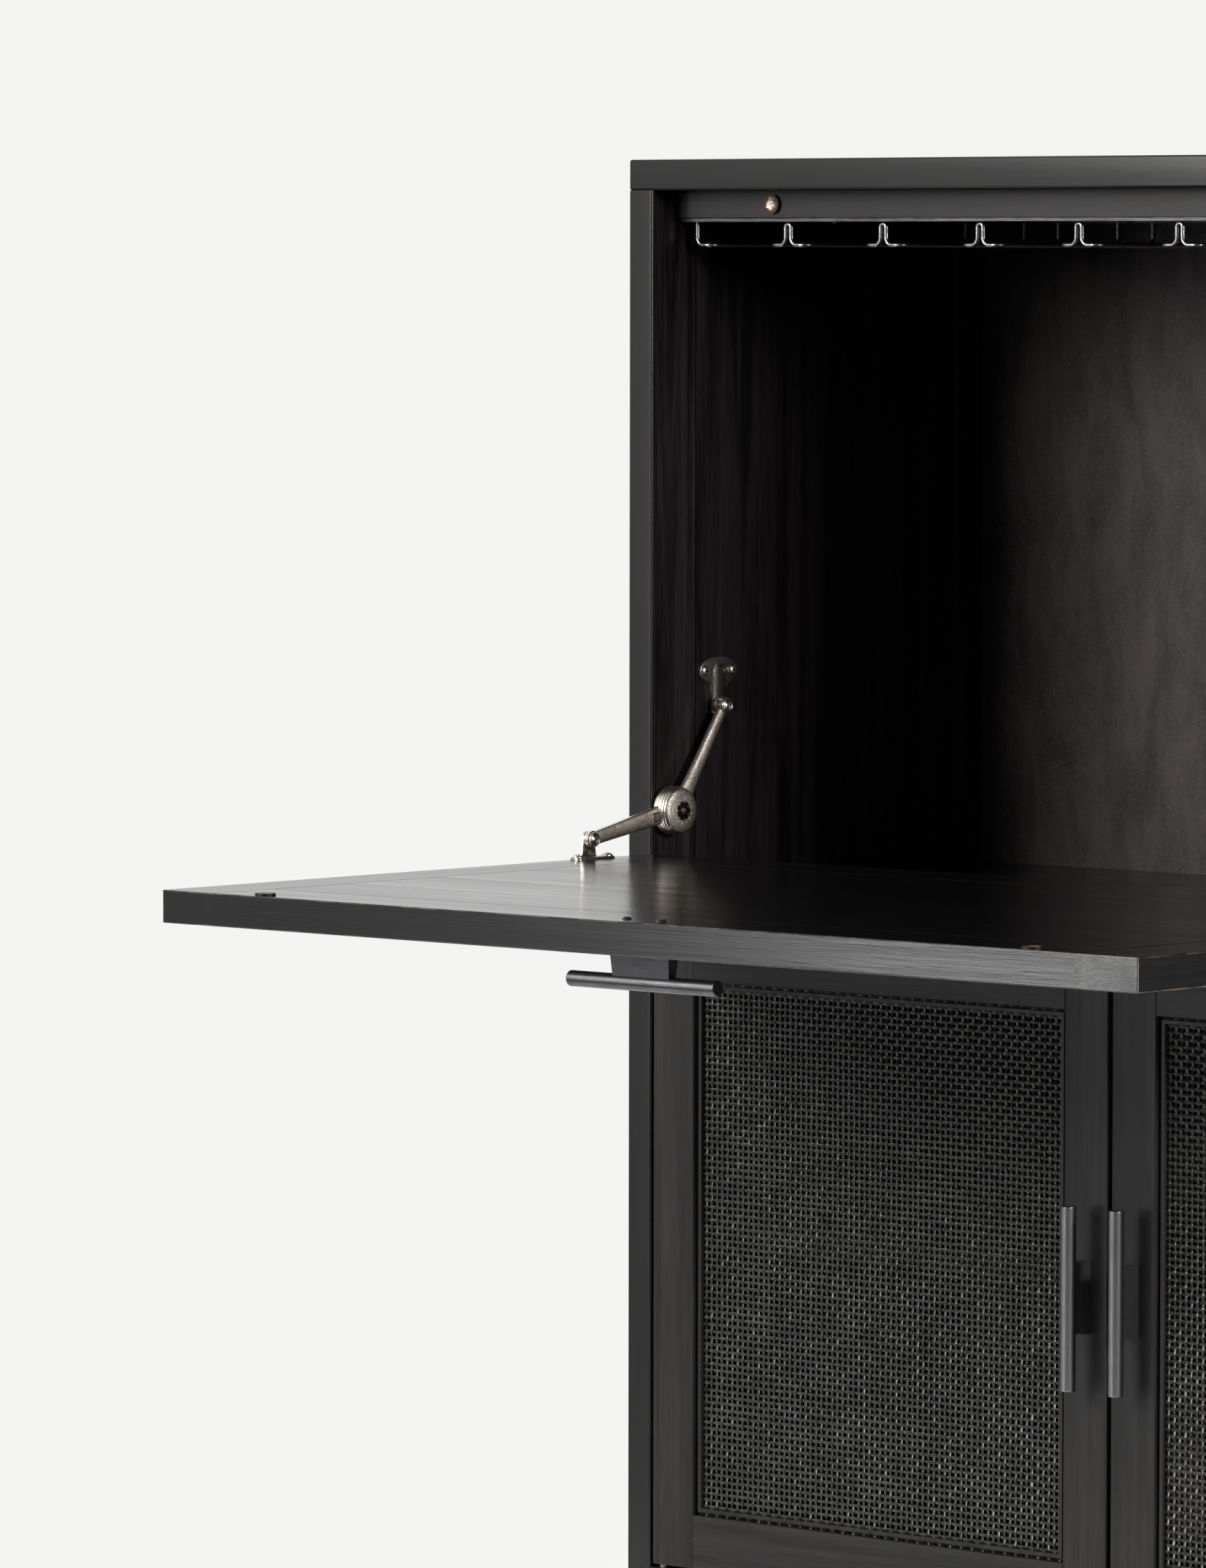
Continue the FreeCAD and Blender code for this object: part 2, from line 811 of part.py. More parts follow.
def bar_handle(seat, outward, along):
    """A round bar on a flat stem that flares to its foot, as one casting."""
    middle = seat + outward * handle_standoff
    bar_start = middle - along * (handle_bar_length / 2)
    bar = rod(bar_start, along, handle_bar_radius, handle_bar_length)
    ends = [edge for edge in bar.Edges if edge.Curve.TypeId == "Part::GeomCircle"]
    bar = bar.makeFillet(handle_bar_ease, ends)
    across = outward.cross(along)
    sections = []
    for height, width, thickness in (
        (0.0, handle_foot_width, handle_foot_thickness),
        (handle_standoff, handle_stem_width, handle_stem_thickness),
    ):
        centre = seat + outward * height
        corners = []
        for a, b in ((-1, -1), (1, -1), (1, 1), (-1, 1)):
            corners.append(centre + along * (a * width / 2) + across * (b * thickness / 2))
        sections.append(Part.makePolygon(corners + corners[:1]))
    stem = Part.makeLoft(sections, True, True)
    return joined([bar, stem])


def handle_screw_places(seat, along):
    """Where the two screws enter the foot of a handle."""
    reach = handle_screw_spread / 2
    return [seat - along * reach, seat + along * reach]


def handle_screw(place, outward, wall):
    """A screw through the wood behind a handle and into its stem."""
    return screw(place - outward * wall, outward.negative(), wall + handle_screw_grip)


def handle_screw_bore(place, outward, wall):
    """The bore for a handle screw, through wood and stem."""
    return screw_hole(place - outward * wall, outward.negative(), wall + handle_screw_grip)


def handle_set(seat, outward, along, wall):
    """A handle bored for its screws, and the screws."""
    places = handle_screw_places(seat, along)
    bores = [handle_screw_bore(place, outward, wall) for place in places]
    handle = bar_handle(seat, outward, along).cut(bores)
    screws = [handle_screw(place, outward, wall) for place in places]
    return handle, screws


def leaf_handle_seat():
    """Where the leaf's handle stands on its outer face, which is underneath while it is open."""
    return leaf_point(0, leaf_length - leaf_handle_inset, 0)


def leaf_handle_bores():
    """Bores through the leaf for the screws of its handle."""
    places = handle_screw_places(leaf_handle_seat(), X_AXIS)
    return [handle_screw_bore(place, Z_AXIS.negative(), leaf_thickness) for place in places]


def stay_x(offset):
    """How far across a layer of the left stay lies, from the inner face of the side."""
    return -inner_half + offset


def stay_point(offset, depth, height):
    """A point of the left stay, its height taken above the leaf's hinge line."""
    return at(stay_x(offset), depth, hinge_height + height)


def stay_pivots():
    """Depth and height of the wall pivot, the leaf pivot and the knuckle of an open stay."""
    wall = (stay_wall_pivot_depth, stay_wall_pivot_height)
    leaf = (-stay_leaf_pivot_reach, leaf_thickness + stay_leaf_pivot_height)
    return wall, leaf, (stay_knuckle_depth, stay_knuckle_height)


def arm_section(pivot, way, distance, width, offset):
    """A flat-backed, crowned section across an arm, some way along it."""
    centre_d = pivot[0] + way[0] * distance
    centre_z = pivot[1] + way[1] * distance
    side_d = -way[1] * width / 2
    side_z = way[0] * width / 2
    left = stay_point(offset, centre_d - side_d, centre_z - side_z)
    right = stay_point(offset, centre_d + side_d, centre_z + side_z)
    crown = stay_point(offset + stay_arm_thickness, centre_d, centre_z)
    flat = Part.LineSegment(left, right).toShape()
    bow = Part.Arc(right, crown, left).toShape()
    return Part.Wire([flat, bow])


def arm_bar(eye, knuckle_place, eye_width, disc_width, offset):
    """The tapered bar of an arm, from its eye to its disc."""
    run = (knuckle_place[0] - eye[0], knuckle_place[1] - eye[1])
    length = math.hypot(*run)
    way = (run[0] / length, run[1] / length)
    near = arm_section(eye, way, 0.0, eye_width, offset)
    far = arm_section(eye, way, length - stay_disc_radius / 2, disc_width, offset)
    return Part.makeLoft([near, far], True, True)


def rivet_bore(pivot):
    """The bore of an eye that turns on a rivet."""
    start = stay_point(0, pivot[0], pivot[1])
    return rod(start, X_AXIS, stay_rivet_radius + pin_clearance, 4 * stay_disc_radius)


def stay_disc(knuckle_place, offset):
    """One plate of the knuckle."""
    back = stay_point(offset, knuckle_place[0], knuckle_place[1])
    return rod(back, X_AXIS, stay_disc_radius, stay_disc_thickness)


def crowned(disc):
    """A disc with the rim of its outer face rounded."""
    outer = max(edge.CenterOfMass.x for edge in disc.Edges)
    rim = []
    for edge in disc.Edges:
        if edge.Curve.TypeId == "Part::GeomCircle" and abs(edge.CenterOfMass.x - outer) < tolerance:
            rim.append(edge)
    return disc.makeFillet(stay_disc_crown, rim)


def upper_layer():
    """Offset of the upper arm and its disc, outside the lower arm's disc."""
    return stay_disc_offset + stay_disc_thickness + stay_disc_gap


def wall_rivet_start():
    """Offset of the face of the wall bracket's tongue."""
    return wall_tongue_offset + stay_plate_thickness


def eye_boss(pivot, start, end):
    """The round boss of an arm's eye."""
    low = stay_point(start, pivot[0], pivot[1])
    return rod(low, X_AXIS, stay_eye_radius, end - start)


def stay_upper_arm_piece():
    """The upper arm: eye on the wall bracket, outer disc at the knuckle."""
    wall, leaf, knuckle_place = stay_pivots()
    layer = upper_layer()
    bar = arm_bar(wall, knuckle_place, stay_upper_arm_eye_width, stay_upper_arm_disc_width, layer)
    boss = eye_boss(wall, wall_rivet_start() + stay_side_play, layer + stay_arm_thickness)
    disc = crowned(stay_disc(knuckle_place, layer))
    face = stay_point(layer + stay_disc_thickness, knuckle_place[0], knuckle_place[1])
    hub = rod(face, X_AXIS, stay_boss_radius, stay_boss_height)
    return joined([bar, boss, disc, hub]).cut(rivet_bore(wall))


def leaf_ear_face():
    """Offset of the face of the leaf bracket's ear."""
    return leaf_bracket_offset + stay_plate_thickness


def lower_arm_end():
    """Offset of the outer face of the lower arm's eye."""
    return stay_disc_offset + stay_disc_thickness - stay_disc_gap


def stay_lower_arm_piece():
    """The lower arm: eye on the leaf bracket, inner disc at the knuckle."""
    wall, leaf, knuckle_place = stay_pivots()
    layer = lower_arm_end() - stay_arm_thickness
    bar = arm_bar(leaf, knuckle_place, stay_lower_arm_eye_width, stay_lower_arm_disc_width, layer)
    boss = eye_boss(leaf, leaf_ear_face() + stay_side_play, lower_arm_end())
    disc = stay_disc(knuckle_place, stay_disc_offset)
    return joined([bar, boss, disc]).cut(rivet_bore(leaf))


def rivet(pivot, start, end):
    """A rivet from the back of a bracket's ear, with a cap outside the eye."""
    foot = stay_point(start, pivot[0], pivot[1])
    shank = rod(foot, X_AXIS, stay_rivet_radius, end + stay_side_play - start)
    seat = stay_point(end + stay_side_play, pivot[0], pivot[1])
    cap = Part.makeCone(stay_cap_radius, stay_cap_crown_radius, stay_cap_thickness, seat, X_AXIS)
    return [shank, cap]


def wall_screw_middle():
    """Depth and height of the middle between the screws of a wall bracket."""
    return (stay_wall_pivot_depth + wall_tongue_forward, stay_wall_pivot_height + wall_screw_rise)


def wall_screw_seats(side):
    """Where the screws of a wall bracket enter the side of the case."""
    depth, height = wall_screw_middle()
    seats = []
    for way in (-1, 1):
        place = depth + way * wall_screw_spread / 2
        offset_x = side * (inner_half - stay_plate_thickness)
        seats.append(at(offset_x, place, hinge_height + height))
    return seats


def wall_plate():
    """The shield-shaped plate of the left wall bracket."""
    depth, height = wall_screw_middle()

    def corner(along, up):
        return stay_point(0, depth + along, height + up)

    wide = wall_plate_half_width
    hip = wall_plate_hip
    hip_fall = wall_plate_hip_fall
    waist = wall_tongue_width
    fall = wall_plate_fall
    crown = Part.Arc(corner(-wide, 0), corner(0, wall_plate_rise), corner(wide, 0))
    right = Part.Arc(corner(wide, 0), corner(hip, -hip_fall), corner(waist, -fall))
    foot = Part.LineSegment(corner(waist, -fall), corner(-waist, -fall))
    left = Part.Arc(corner(-waist, -fall), corner(-hip, -hip_fall), corner(-wide, 0))
    outline = Part.Wire([edge.toShape() for edge in (crown, right, foot, left)])
    return Part.Face(outline).extrude(X_AXIS * stay_plate_thickness)


def swept_along_depth(profile, depth_range):
    """A strip with a section given by offsets and heights, run between two depths."""
    points = [stay_point(offset, depth_range[0], height) for offset, height in profile]
    face = Part.Face(Part.makePolygon(points + points[:1]))
    return face.extrude(Y_AXIS * (depth_range[1] - depth_range[0]))


def wall_bracket():
    """The left wall bracket: plate, tongue bent off the wall, rib and rivet."""
    wall, leaf, knuckle_place = stay_pivots()
    depth, height = wall_screw_middle()
    thick = stay_plate_thickness
    out = wall_tongue_offset
    bend_top = height - wall_plate_fall / 2
    bend_low = wall[1] + stay_eye_radius
    half = wall_tongue_width / 2
    tongue = swept_along_depth(
        [(0, bend_top), (thick, bend_top), (out + thick, bend_low), (out + thick, wall[1]),
         (out, wall[1]), (out, bend_low), (0, bend_top - thick)],
        (wall[0] - half, wall[0] + half),
    )
    eye = rod(stay_point(out, wall[0], wall[1]), X_AXIS, half, thick)
    rise = thick + wall_rib_height
    rib_start = wall[0] - half
    rib = swept_along_depth(
        [(thick / 2, height), (rise, height), (out + rise, bend_low), (out + rise, wall[1] + half),
         (out + thick / 2, wall[1] + half), (out + thick / 2, bend_low)],
        (rib_start, rib_start + wall_rib_width),
    )
    pieces = [wall_plate(), tongue, eye, rib]
    pieces += rivet(wall, out, upper_layer() + stay_arm_thickness)
    holes = [screw_hole(seat, X_AXIS, screw_length) for seat in wall_screw_seats(-1)]
    return joined(pieces).cut(holes)


def leaf_bracket_screw_seats(side):
    """Where the screws of a leaf bracket enter the leaf, on top of its base."""
    x = side * (inner_half - leaf_bracket_offset - leaf_bracket_width / 2 - stay_plate_thickness / 2)
    seats = []
    for way in (-1, 1):
        middle = stay_leaf_pivot_reach - leaf_bracket_shift - leaf_hinge_gap / 2
        from_hinge = middle + way * leaf_bracket_screw_spread / 2
        seats.append(leaf_point(x, from_hinge, leaf_thickness + stay_plate_thickness))
    return seats


def leaf_bracket():
    """The left leaf bracket: base on the leaf, upright ear and rivet."""
    wall, leaf, knuckle_place = stay_pivots()
    thick = stay_plate_thickness
    near = leaf_bracket_offset
    half = leaf_bracket_length / 2
    middle = leaf[0] + leaf_bracket_shift
    base_x = (stay_x(near), stay_x(near + leaf_bracket_width))
    face = hinge_height + leaf_thickness
    base = block(base_x, (middle - half, middle + half), (face, face + thick))
    base = eased_along(base, leaf_bracket_corner, Z_AXIS)
    foot = leaf_bracket_ear_foot / 2
    corners = [
        stay_point(near, leaf[0] - foot, leaf_thickness),
        stay_point(near, leaf[0] + foot, leaf_thickness),
        stay_point(near, leaf[0] + stay_eye_radius, leaf[1]),
        stay_point(near, leaf[0] - stay_eye_radius, leaf[1]),
    ]
    ear = Part.Face(Part.makePolygon(corners + corners[:1])).extrude(X_AXIS * thick)
    eye = rod(stay_point(near, leaf[0], leaf[1]), X_AXIS, stay_eye_radius, thick)
    pieces = [base, ear, eye] + rivet(leaf, near, lower_arm_end())
    holes = [screw_hole(seat, Z_AXIS, screw_length) for seat in leaf_bracket_screw_seats(-1)]
    return joined(pieces).cut(holes)


def pivot_plate(side, z_range):
    """A narrow plate round a door's pivot, let into wood."""
    half = pivot_plate_width / 2
    x_range = (side * (pivot_x + half), side * pivot_plate_end)
    return block(x_range, (pivot_face_inset - half, pivot_face_inset + half), z_range)


def case_pivot(side, level, way):
    """A case-side pivot plate with its collar and pin, pointing up or down into a door."""
    plate = pivot_plate(side, (level, level - way * pivot_plate_thickness))
    upward = Z_AXIS * way
    root = at(side * pivot_x, pivot_face_inset, level)
    collar = rod(root, upward, pivot_collar_radius, door_end_gap - pivot_collar_play)
    pin = rod(root, upward, pivot_pin_radius, door_end_gap + pivot_pin_length)
    return joined([plate, collar, pin])


def case_pivots():
    """The four case-side pivots."""
    pivots = []
    for side in (-1, 1):
        pivots.append(case_pivot(side, bottom_top, 1))
        pivots.append(case_pivot(side, deck_bottom, -1))
    return pivots


def door_socket(side, level, way):
    """A door-side plate with its bush, not yet bored."""
    plate = pivot_plate(side, (level, level + way * pivot_plate_thickness))
    root = at(side * pivot_x, pivot_face_inset, level)
    depth = pivot_pin_length + pivot_plate_thickness
    bush = rod(root, Z_AXIS * way, pivot_bush_radius, depth)
    return joined([plate, bush])


def door_sockets(side):
    """Both door-side pivot plates of one door, bored for the pins."""
    sockets = []
    for level, way in ((door_bottom, 1), (door_top, -1)):
        root = at(side * pivot_x, pivot_face_inset, level)
        bore = rod(root, Z_AXIS * way, pivot_pin_radius + pin_clearance, pivot_pin_length + pin_clearance)
        sockets.append(door_socket(side, level, way).cut(bore))
    return sockets


def door_opening(side):
    """Width and height ranges of the opening in a door's frame."""
    x_range = (side * (door_outer - door_stile_width), side * (door_inner + door_stile_width))
    return x_range, (door_bottom + door_rail_width, door_top - door_rail_width)


def grown(x_range, z_range, by):
    """An opening made larger, or smaller, all round."""
    x0, x1 = sorted(x_range)
    return (x0 - by, x1 + by), (z_range[0] - by, z_range[1] + by)


def cane_rebate(side):
    """The rebate for the cane, cut from the back of a door's frame."""
    x_range, z_range = grown(*door_opening(side), cane_lap)
    return block(x_range, (cane_lip, door_thickness + overcut), z_range)


def door_rail_tenon(end, joint_x, way):
    """A tenon of a door rail in one stile."""
    low = door_bottom if end == 0 else door_top - door_rail_width
    z_range = (low + door_tenon_shoulder, low + door_rail_width - door_tenon_shoulder)
    middle = door_thickness / 2
    d_range = (middle - door_tenon_thickness / 2, middle + door_tenon_thickness / 2)
    return block((joint_x, joint_x + way * door_tenon_length), d_range, z_range)


def door_joints(side):
    """The two joint lines of a door with the way its tenons point there."""
    outer_joint = side * (door_outer - door_stile_width)
    inner_joint = side * (door_inner + door_stile_width)
    return [(outer_joint, side), (inner_joint, -side)]


def door_stile(side, x_range, joint):
    """A stile of a door with its two mortises."""
    stile = block(x_range, (0, door_thickness), (door_bottom, door_top))
    stile = eased_along(stile, door_edge_radius, Z_AXIS)
    cuts = [cane_rebate(side)]
    for end in (0, 1):
        cuts.append(door_rail_tenon(end, joint[0], joint[1]))
    return stile.cut(cuts)


def door_hinge_stile(side):
    """The outer stile, cut for its pivot plates."""
    x_range = (side * (door_outer - door_stile_width), side * door_outer)
    cuts = [door_socket(side, door_bottom, 1), door_socket(side, door_top, -1)]
    return door_stile(side, x_range, door_joints(side)[0]).cut(cuts)


def door_lock_stile(side):
    """The inner stile, bored for the handle screws."""
    x_range = (side * door_inner, side * (door_inner + door_stile_width))
    places = handle_screw_places(door_handle_seat(side), Z_AXIS)
    bores = [handle_screw_bore(place, Y_AXIS.negative(), door_thickness) for place in places]
    return door_stile(side, x_range, door_joints(side)[1]).cut(bores)


def door_rail(side, end):
    """The bottom or top rail of a door."""
    x_range = door_opening(side)[0]
    low = door_bottom if end == 0 else door_top - door_rail_width
    rail = block(x_range, (0, door_thickness), (low, low + door_rail_width))
    tenons = [door_rail_tenon(end, joint[0], joint[1]) for joint in door_joints(side)]
    return joined([rail.cut(cane_rebate(side))] + tenons)


def door_cane(side):
    """The cane sheet, lapped into the rebate of its frame."""
    x_range, z_range = grown(*door_opening(side), cane_lap)
    return block(x_range, (cane_lip, cane_lip + cane_thickness), z_range)


def strip_ring(outer, inner, d_range):
    """Four strips round an opening: two full-height uprights and two cross pieces between them."""
    (x0, x1), (z0, z1) = outer
    (a0, a1), (b0, b1) = inner
    return [
        block((x0, a0), d_range, (z0, z1)),
        block((a1, x1), d_range, (z0, z1)),
        block((a0, a1), d_range, (z0, b0)),
        block((a0, a1), d_range, (b1, z1)),
    ]


def door_beads(side):
    """Beads on the face of the cane, a little in from the frame, and retaining strips behind it."""
    opening = door_opening(side)
    outer = grown(*opening, -bead_gap)
    inner = grown(*opening, -bead_gap - bead_width)
    front = strip_ring(outer, inner, (cane_lip - bead_height, cane_lip))
    behind = cane_lip + cane_thickness
    lapped = grown(*opening, cane_lap)
    back = strip_ring(lapped, grown(*opening, 0.0), (behind, behind + retainer_thickness))
    return front + back


def door_handle_seat(side):
    """Where a door's handle stands on the middle of the lock stile."""
    middle = (door_bottom + door_top) / 2 - door_handle_drop
    return at(side * (door_inner + door_stile_width / 2), 0, middle)


def door_catch():
    """A double magnetic catch under the deck, behind the meeting doors."""
    near = door_thickness + door_strike_thickness + door_strike_gap
    half = door_catch_length / 2
    z_range = (deck_bottom - door_catch_height, deck_bottom)
    body = block((-half, half), (near, near + door_catch_depth), z_range)
    return eased_along(body, door_edge_radius, Z_AXIS)


def door_strike(side):
    """A steel strike on the back of a door, in front of the catch."""
    near = door_inner + door_strike_inset
    x_range = (side * near, side * (near + door_strike_width))
    d_range = (door_thickness, door_thickness + door_strike_thickness)
    return block(x_range, d_range, (deck_bottom - door_catch_height, door_top))


def case_nodes():
    """Everything that stands still."""
    nodes = {"top_panel": [top_panel()]}
    for name, side in (("left", -1), ("right", 1)):
        nodes[name + "_front_post"] = [front_post(side)]
        nodes[name + "_rear_post"] = [rear_post(side)]
        nodes[name + "_side_panel"] = [side_panel(side)]
    nodes["upper_front_rail"] = [upper_front_rail()]
    nodes["rack_cleat"] = [rack_cleat()]
    nodes["deck"] = [deck()]
    nodes["bottom_panel"] = [bottom_panel()]
    nodes["back_panel"] = [back_panel()]
    nodes["cupboard_shelf"] = [shelf()]
    nodes["shelf_pins"] = shelf_pins()
    nodes["foot_glides"] = foot_glides()
    nodes["rack_bars"] = [rack_bar(rail_setback), rack_bar(cleat_depth)]
    nodes["rack_runners"] = rack_runners()
    seats = rack_screw_seats(rail_setback) + rack_screw_seats(cleat_depth)
    nodes["rack_screws"] = [screw(seat, Z_AXIS.negative(), screw_length) for seat in seats]
    nodes["leaf_magnets"] = [magnet(-catch_spread), magnet(catch_spread)]
    nodes["deck_hinge_plates"] = [deck_hinge_plate(x) for x in hinge_places()]
    nodes["leaf_hinge_pins"] = [hinge_pin(x) for x in hinge_places()]
    nodes["door_case_pivots"] = case_pivots()
    nodes["door_catch"] = [door_catch()]
    return nodes


def stay_nodes():
    """The two friction stays, the right one a mirror of the left."""
    pieces = {
        "wall_bracket": wall_bracket(),
        "leaf_bracket": leaf_bracket(),
        "stay_upper_arm": stay_upper_arm_piece(),
        "stay_lower_arm": stay_lower_arm_piece(),
    }
    nodes = {}
    for name, shape in pieces.items():
        nodes["left_" + name] = [shape]
        nodes["right_" + name] = [mirrored(shape)]
    wall_screws = []
    leaf_screws = []
    for side in (-1, 1):
        wall_screws += [screw(seat, X_AXIS * -side, screw_length) for seat in wall_screw_seats(side)]
        leaf_screws += [screw(seat, Z_AXIS, screw_length) for seat in leaf_bracket_screw_seats(side)]
    nodes["wall_bracket_screws"] = wall_screws
    nodes["leaf_bracket_screws"] = leaf_screws
    return nodes


def leaf_nodes():
    """The drop leaf with its fittings."""
    handle, screws = handle_set(leaf_handle_seat(), Z_AXIS.negative(), X_AXIS, leaf_thickness)
    return {
        "leaf_left_stile": [leaf_stile(-1)],
        "leaf_right_stile": [leaf_stile(1)],
        "leaf_rear_rail": [leaf_rear_rail()],
        "leaf_front_rail": [leaf_front_rail()],
        "leaf_panel": [leaf_panel()],
        "leaf_hinge_plates": [leaf_hinge_plate(x) for x in hinge_places()],
        "leaf_strikes": [strike(-catch_spread), strike(catch_spread)],
        "leaf_handle": [handle],
        "leaf_handle_screws": screws,
    }


def door_nodes():
    """The two cane doors."""
    nodes = {}
    for name, side in (("left_door", -1), ("right_door", 1)):
        handle, screws = handle_set(door_handle_seat(side), Y_AXIS.negative(), Z_AXIS, door_thickness)
        nodes[name + "_hinge_stile"] = [door_hinge_stile(side)]
        nodes[name + "_lock_stile"] = [door_lock_stile(side)]
        nodes[name + "_bottom_rail"] = [door_rail(side, 0)]
        nodes[name + "_top_rail"] = [door_rail(side, 1)]
        nodes[name + "_cane"] = [door_cane(side)]
        nodes[name + "_beads"] = door_beads(side)
        nodes[name + "_handle"] = [handle] + screws
        nodes[name + "_pivots"] = door_sockets(side)
        nodes[name + "_strike"] = [door_strike(side)]
    return nodes


def write_nodes(nodes):
    """One file for each node, with every solid of it checked."""
    os.makedirs("parts", exist_ok=True)
    for name, solids in sorted(nodes.items()):
        shape = solids[0] if len(solids) == 1 else Part.makeCompound(solids)
        volume = sum(solid.Volume for solid in shape.Solids)
        print(name, len(shape.Solids), "solids", round(volume), "mm3", "valid", shape.isValid())
        shape.exportStep("parts/" + name + ".step")


every_node = {}
for group in (case_nodes(), stay_nodes(), leaf_nodes(), door_nodes()):
    every_node.update(group)
write_nodes(every_node)
print("height", case_height, "front plane at Y", front_y, "nodes", len(every_node))
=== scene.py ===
# %% [markdown]
# # A bar armoire in black-stained wood
# The cabinet stands with its drop leaf open and its two cane doors closed. Its boards, hinges and fittings were
# drawn in CAD and come in as a fixed frame. This lesson sets the studio, gives each material its finish, and
# builds the pieces that CAD keeps plain, such as the woven cane and the two folding stays.

# %% Load the frame
import json
import math
import random

import bmesh
import bpy
from mathutils import Matrix, Vector


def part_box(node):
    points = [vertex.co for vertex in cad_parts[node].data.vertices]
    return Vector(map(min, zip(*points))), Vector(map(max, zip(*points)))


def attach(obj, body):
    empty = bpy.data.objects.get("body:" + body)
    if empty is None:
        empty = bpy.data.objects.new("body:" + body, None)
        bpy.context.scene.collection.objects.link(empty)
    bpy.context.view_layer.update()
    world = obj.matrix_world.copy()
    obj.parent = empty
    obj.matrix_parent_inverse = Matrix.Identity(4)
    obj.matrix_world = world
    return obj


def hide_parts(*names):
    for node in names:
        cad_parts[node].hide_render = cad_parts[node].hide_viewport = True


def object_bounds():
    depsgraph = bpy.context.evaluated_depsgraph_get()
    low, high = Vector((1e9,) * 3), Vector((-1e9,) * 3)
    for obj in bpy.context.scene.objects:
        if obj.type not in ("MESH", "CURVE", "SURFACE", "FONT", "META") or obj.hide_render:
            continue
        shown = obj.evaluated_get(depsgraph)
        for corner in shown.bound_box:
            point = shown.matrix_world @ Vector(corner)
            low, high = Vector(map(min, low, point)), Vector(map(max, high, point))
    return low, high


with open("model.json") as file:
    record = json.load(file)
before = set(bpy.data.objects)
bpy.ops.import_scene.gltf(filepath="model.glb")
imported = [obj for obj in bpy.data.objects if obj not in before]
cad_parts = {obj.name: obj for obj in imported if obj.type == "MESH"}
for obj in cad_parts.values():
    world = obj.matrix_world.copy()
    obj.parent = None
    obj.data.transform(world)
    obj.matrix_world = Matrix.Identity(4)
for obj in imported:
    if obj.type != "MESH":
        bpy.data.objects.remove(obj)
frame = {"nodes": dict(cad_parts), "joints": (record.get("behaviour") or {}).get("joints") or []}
nodes = frame["nodes"]
cad_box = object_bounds()
scene = bpy.context.scene
scene.view_settings.view_transform = "Standard"
print("loaded", len(nodes), "nodes, box", [round(v, 3) for corner in cad_box for v in corner])

# %% [markdown]
# ## The camera
# The photograph was taken from the front right with a long lens, so the verticals stay almost parallel. The
# camera was fitted to the straight edges of the case and the leaf. A constraint could aim it, but three turns in
# a row also take the tiny roll.

# %% Camera
CAMERA_PLACE = Vector((4.3294, -5.2857, 1.3207))
CAMERA_YAW = math.radians(42.2958)
CAMERA_DIP = math.radians(3.4186)
CAMERA_ROLL = math.radians(0.0692)

camera_data = bpy.data.cameras.new("studio_camera")
camera_data.lens = 202.529
camera_data.sensor_width = 36
camera_data.clip_end = 60
camera = bpy.data.objects.new("studio_camera", camera_data)
scene.collection.objects.link(camera)

turn = (Matrix.Rotation(CAMERA_YAW, 4, "Z") @ Matrix.Rotation(math.pi / 2 - CAMERA_DIP, 4, "X")
        @ Matrix.Rotation(CAMERA_ROLL, 4, "Z"))
camera.matrix_world = Matrix.Translation(CAMERA_PLACE) @ turn
scene.camera = camera
print("camera looks along", [round(-v, 3) for v in turn.col[2].xyz])

# %% [markdown]
# ## Nodes in short
# Every finish below is a small node tree. This helper makes one node, sets its values, and links what is handed to
# it: a value that is a socket becomes a link, and any other value is set on the socket itself. Most are shader
# nodes, so that word is left out of their names.

# %% A helper that makes one node


def node(tree, kind, settings=None, **inputs):
    """Adds a node. Settings are its properties; inputs are values or sockets, named with _ for a space."""
    made = tree.nodes.new(kind if kind.startswith(("Geometry", "NodeGroup")) else "ShaderNode" + kind)
    for name, value in (settings or {}).items():
        setattr(made, name, value)
    for name, value in inputs.items():
        key = int(name[2:]) if name.startswith("in") and name[2:].isdigit() else name.replace("_", " ")
        socket = made.inputs[key]
        if isinstance(value, bpy.types.NodeSocket):
            tree.links.new(value, socket)
        else:
            socket.default_value = value
    return made


print("one call makes one node")

# %% [markdown]
# A few kinds of node come back in every finish. Each gets a short name that hands back its result, so that a
# finish reads as one line for each thought.

# %% Sums, vectors, noise and ranges


def calc(tree, operation, first, second=0.5, clamp=False):
    """One Math node and its result."""
    return node(tree, "Math", {"operation": operation, "use_clamp": clamp}, in0=first, in1=second).outputs[0]


def vector(tree, operation, first, second=(0, 0, 0)):
    """One Vector Math node and its result."""
    made = node(tree, "VectorMath", {"operation": operation}, in0=first, in1=second)
    return made.outputs["Value" if operation in ("DOT_PRODUCT", "LENGTH") else "Vector"]


def weighted(tree, *terms):
    """The sum of (value, share) terms."""
    total = 0.0
    for value, share in terms:
        total = calc(tree, "ADD", calc(tree, "MULTIPLY", value, share), total)
    return total


def noise(tree, place, scale, detail, rough=0.5, twist=0.0):
    """Noise round a middle of one half."""
    return node(tree, "TexNoise", Vector=place, Scale=scale, Detail=detail, Roughness=rough,
                Distortion=twist).outputs["Fac"]


def remap(tree, value, start, end, low=0.0, high=1.0, soft=False):
    """Low at start and high at end. Soft eases the change."""
    kind = "SMOOTHSTEP" if soft else "LINEAR"
    return node(tree, "MapRange", {"interpolation_type": kind}, Value=value, From_Min=start,
                From_Max=end, To_Min=low, To_Max=high).outputs["Result"]


print("short names for sums, noise and ranges")

# %% Colours and new finishes


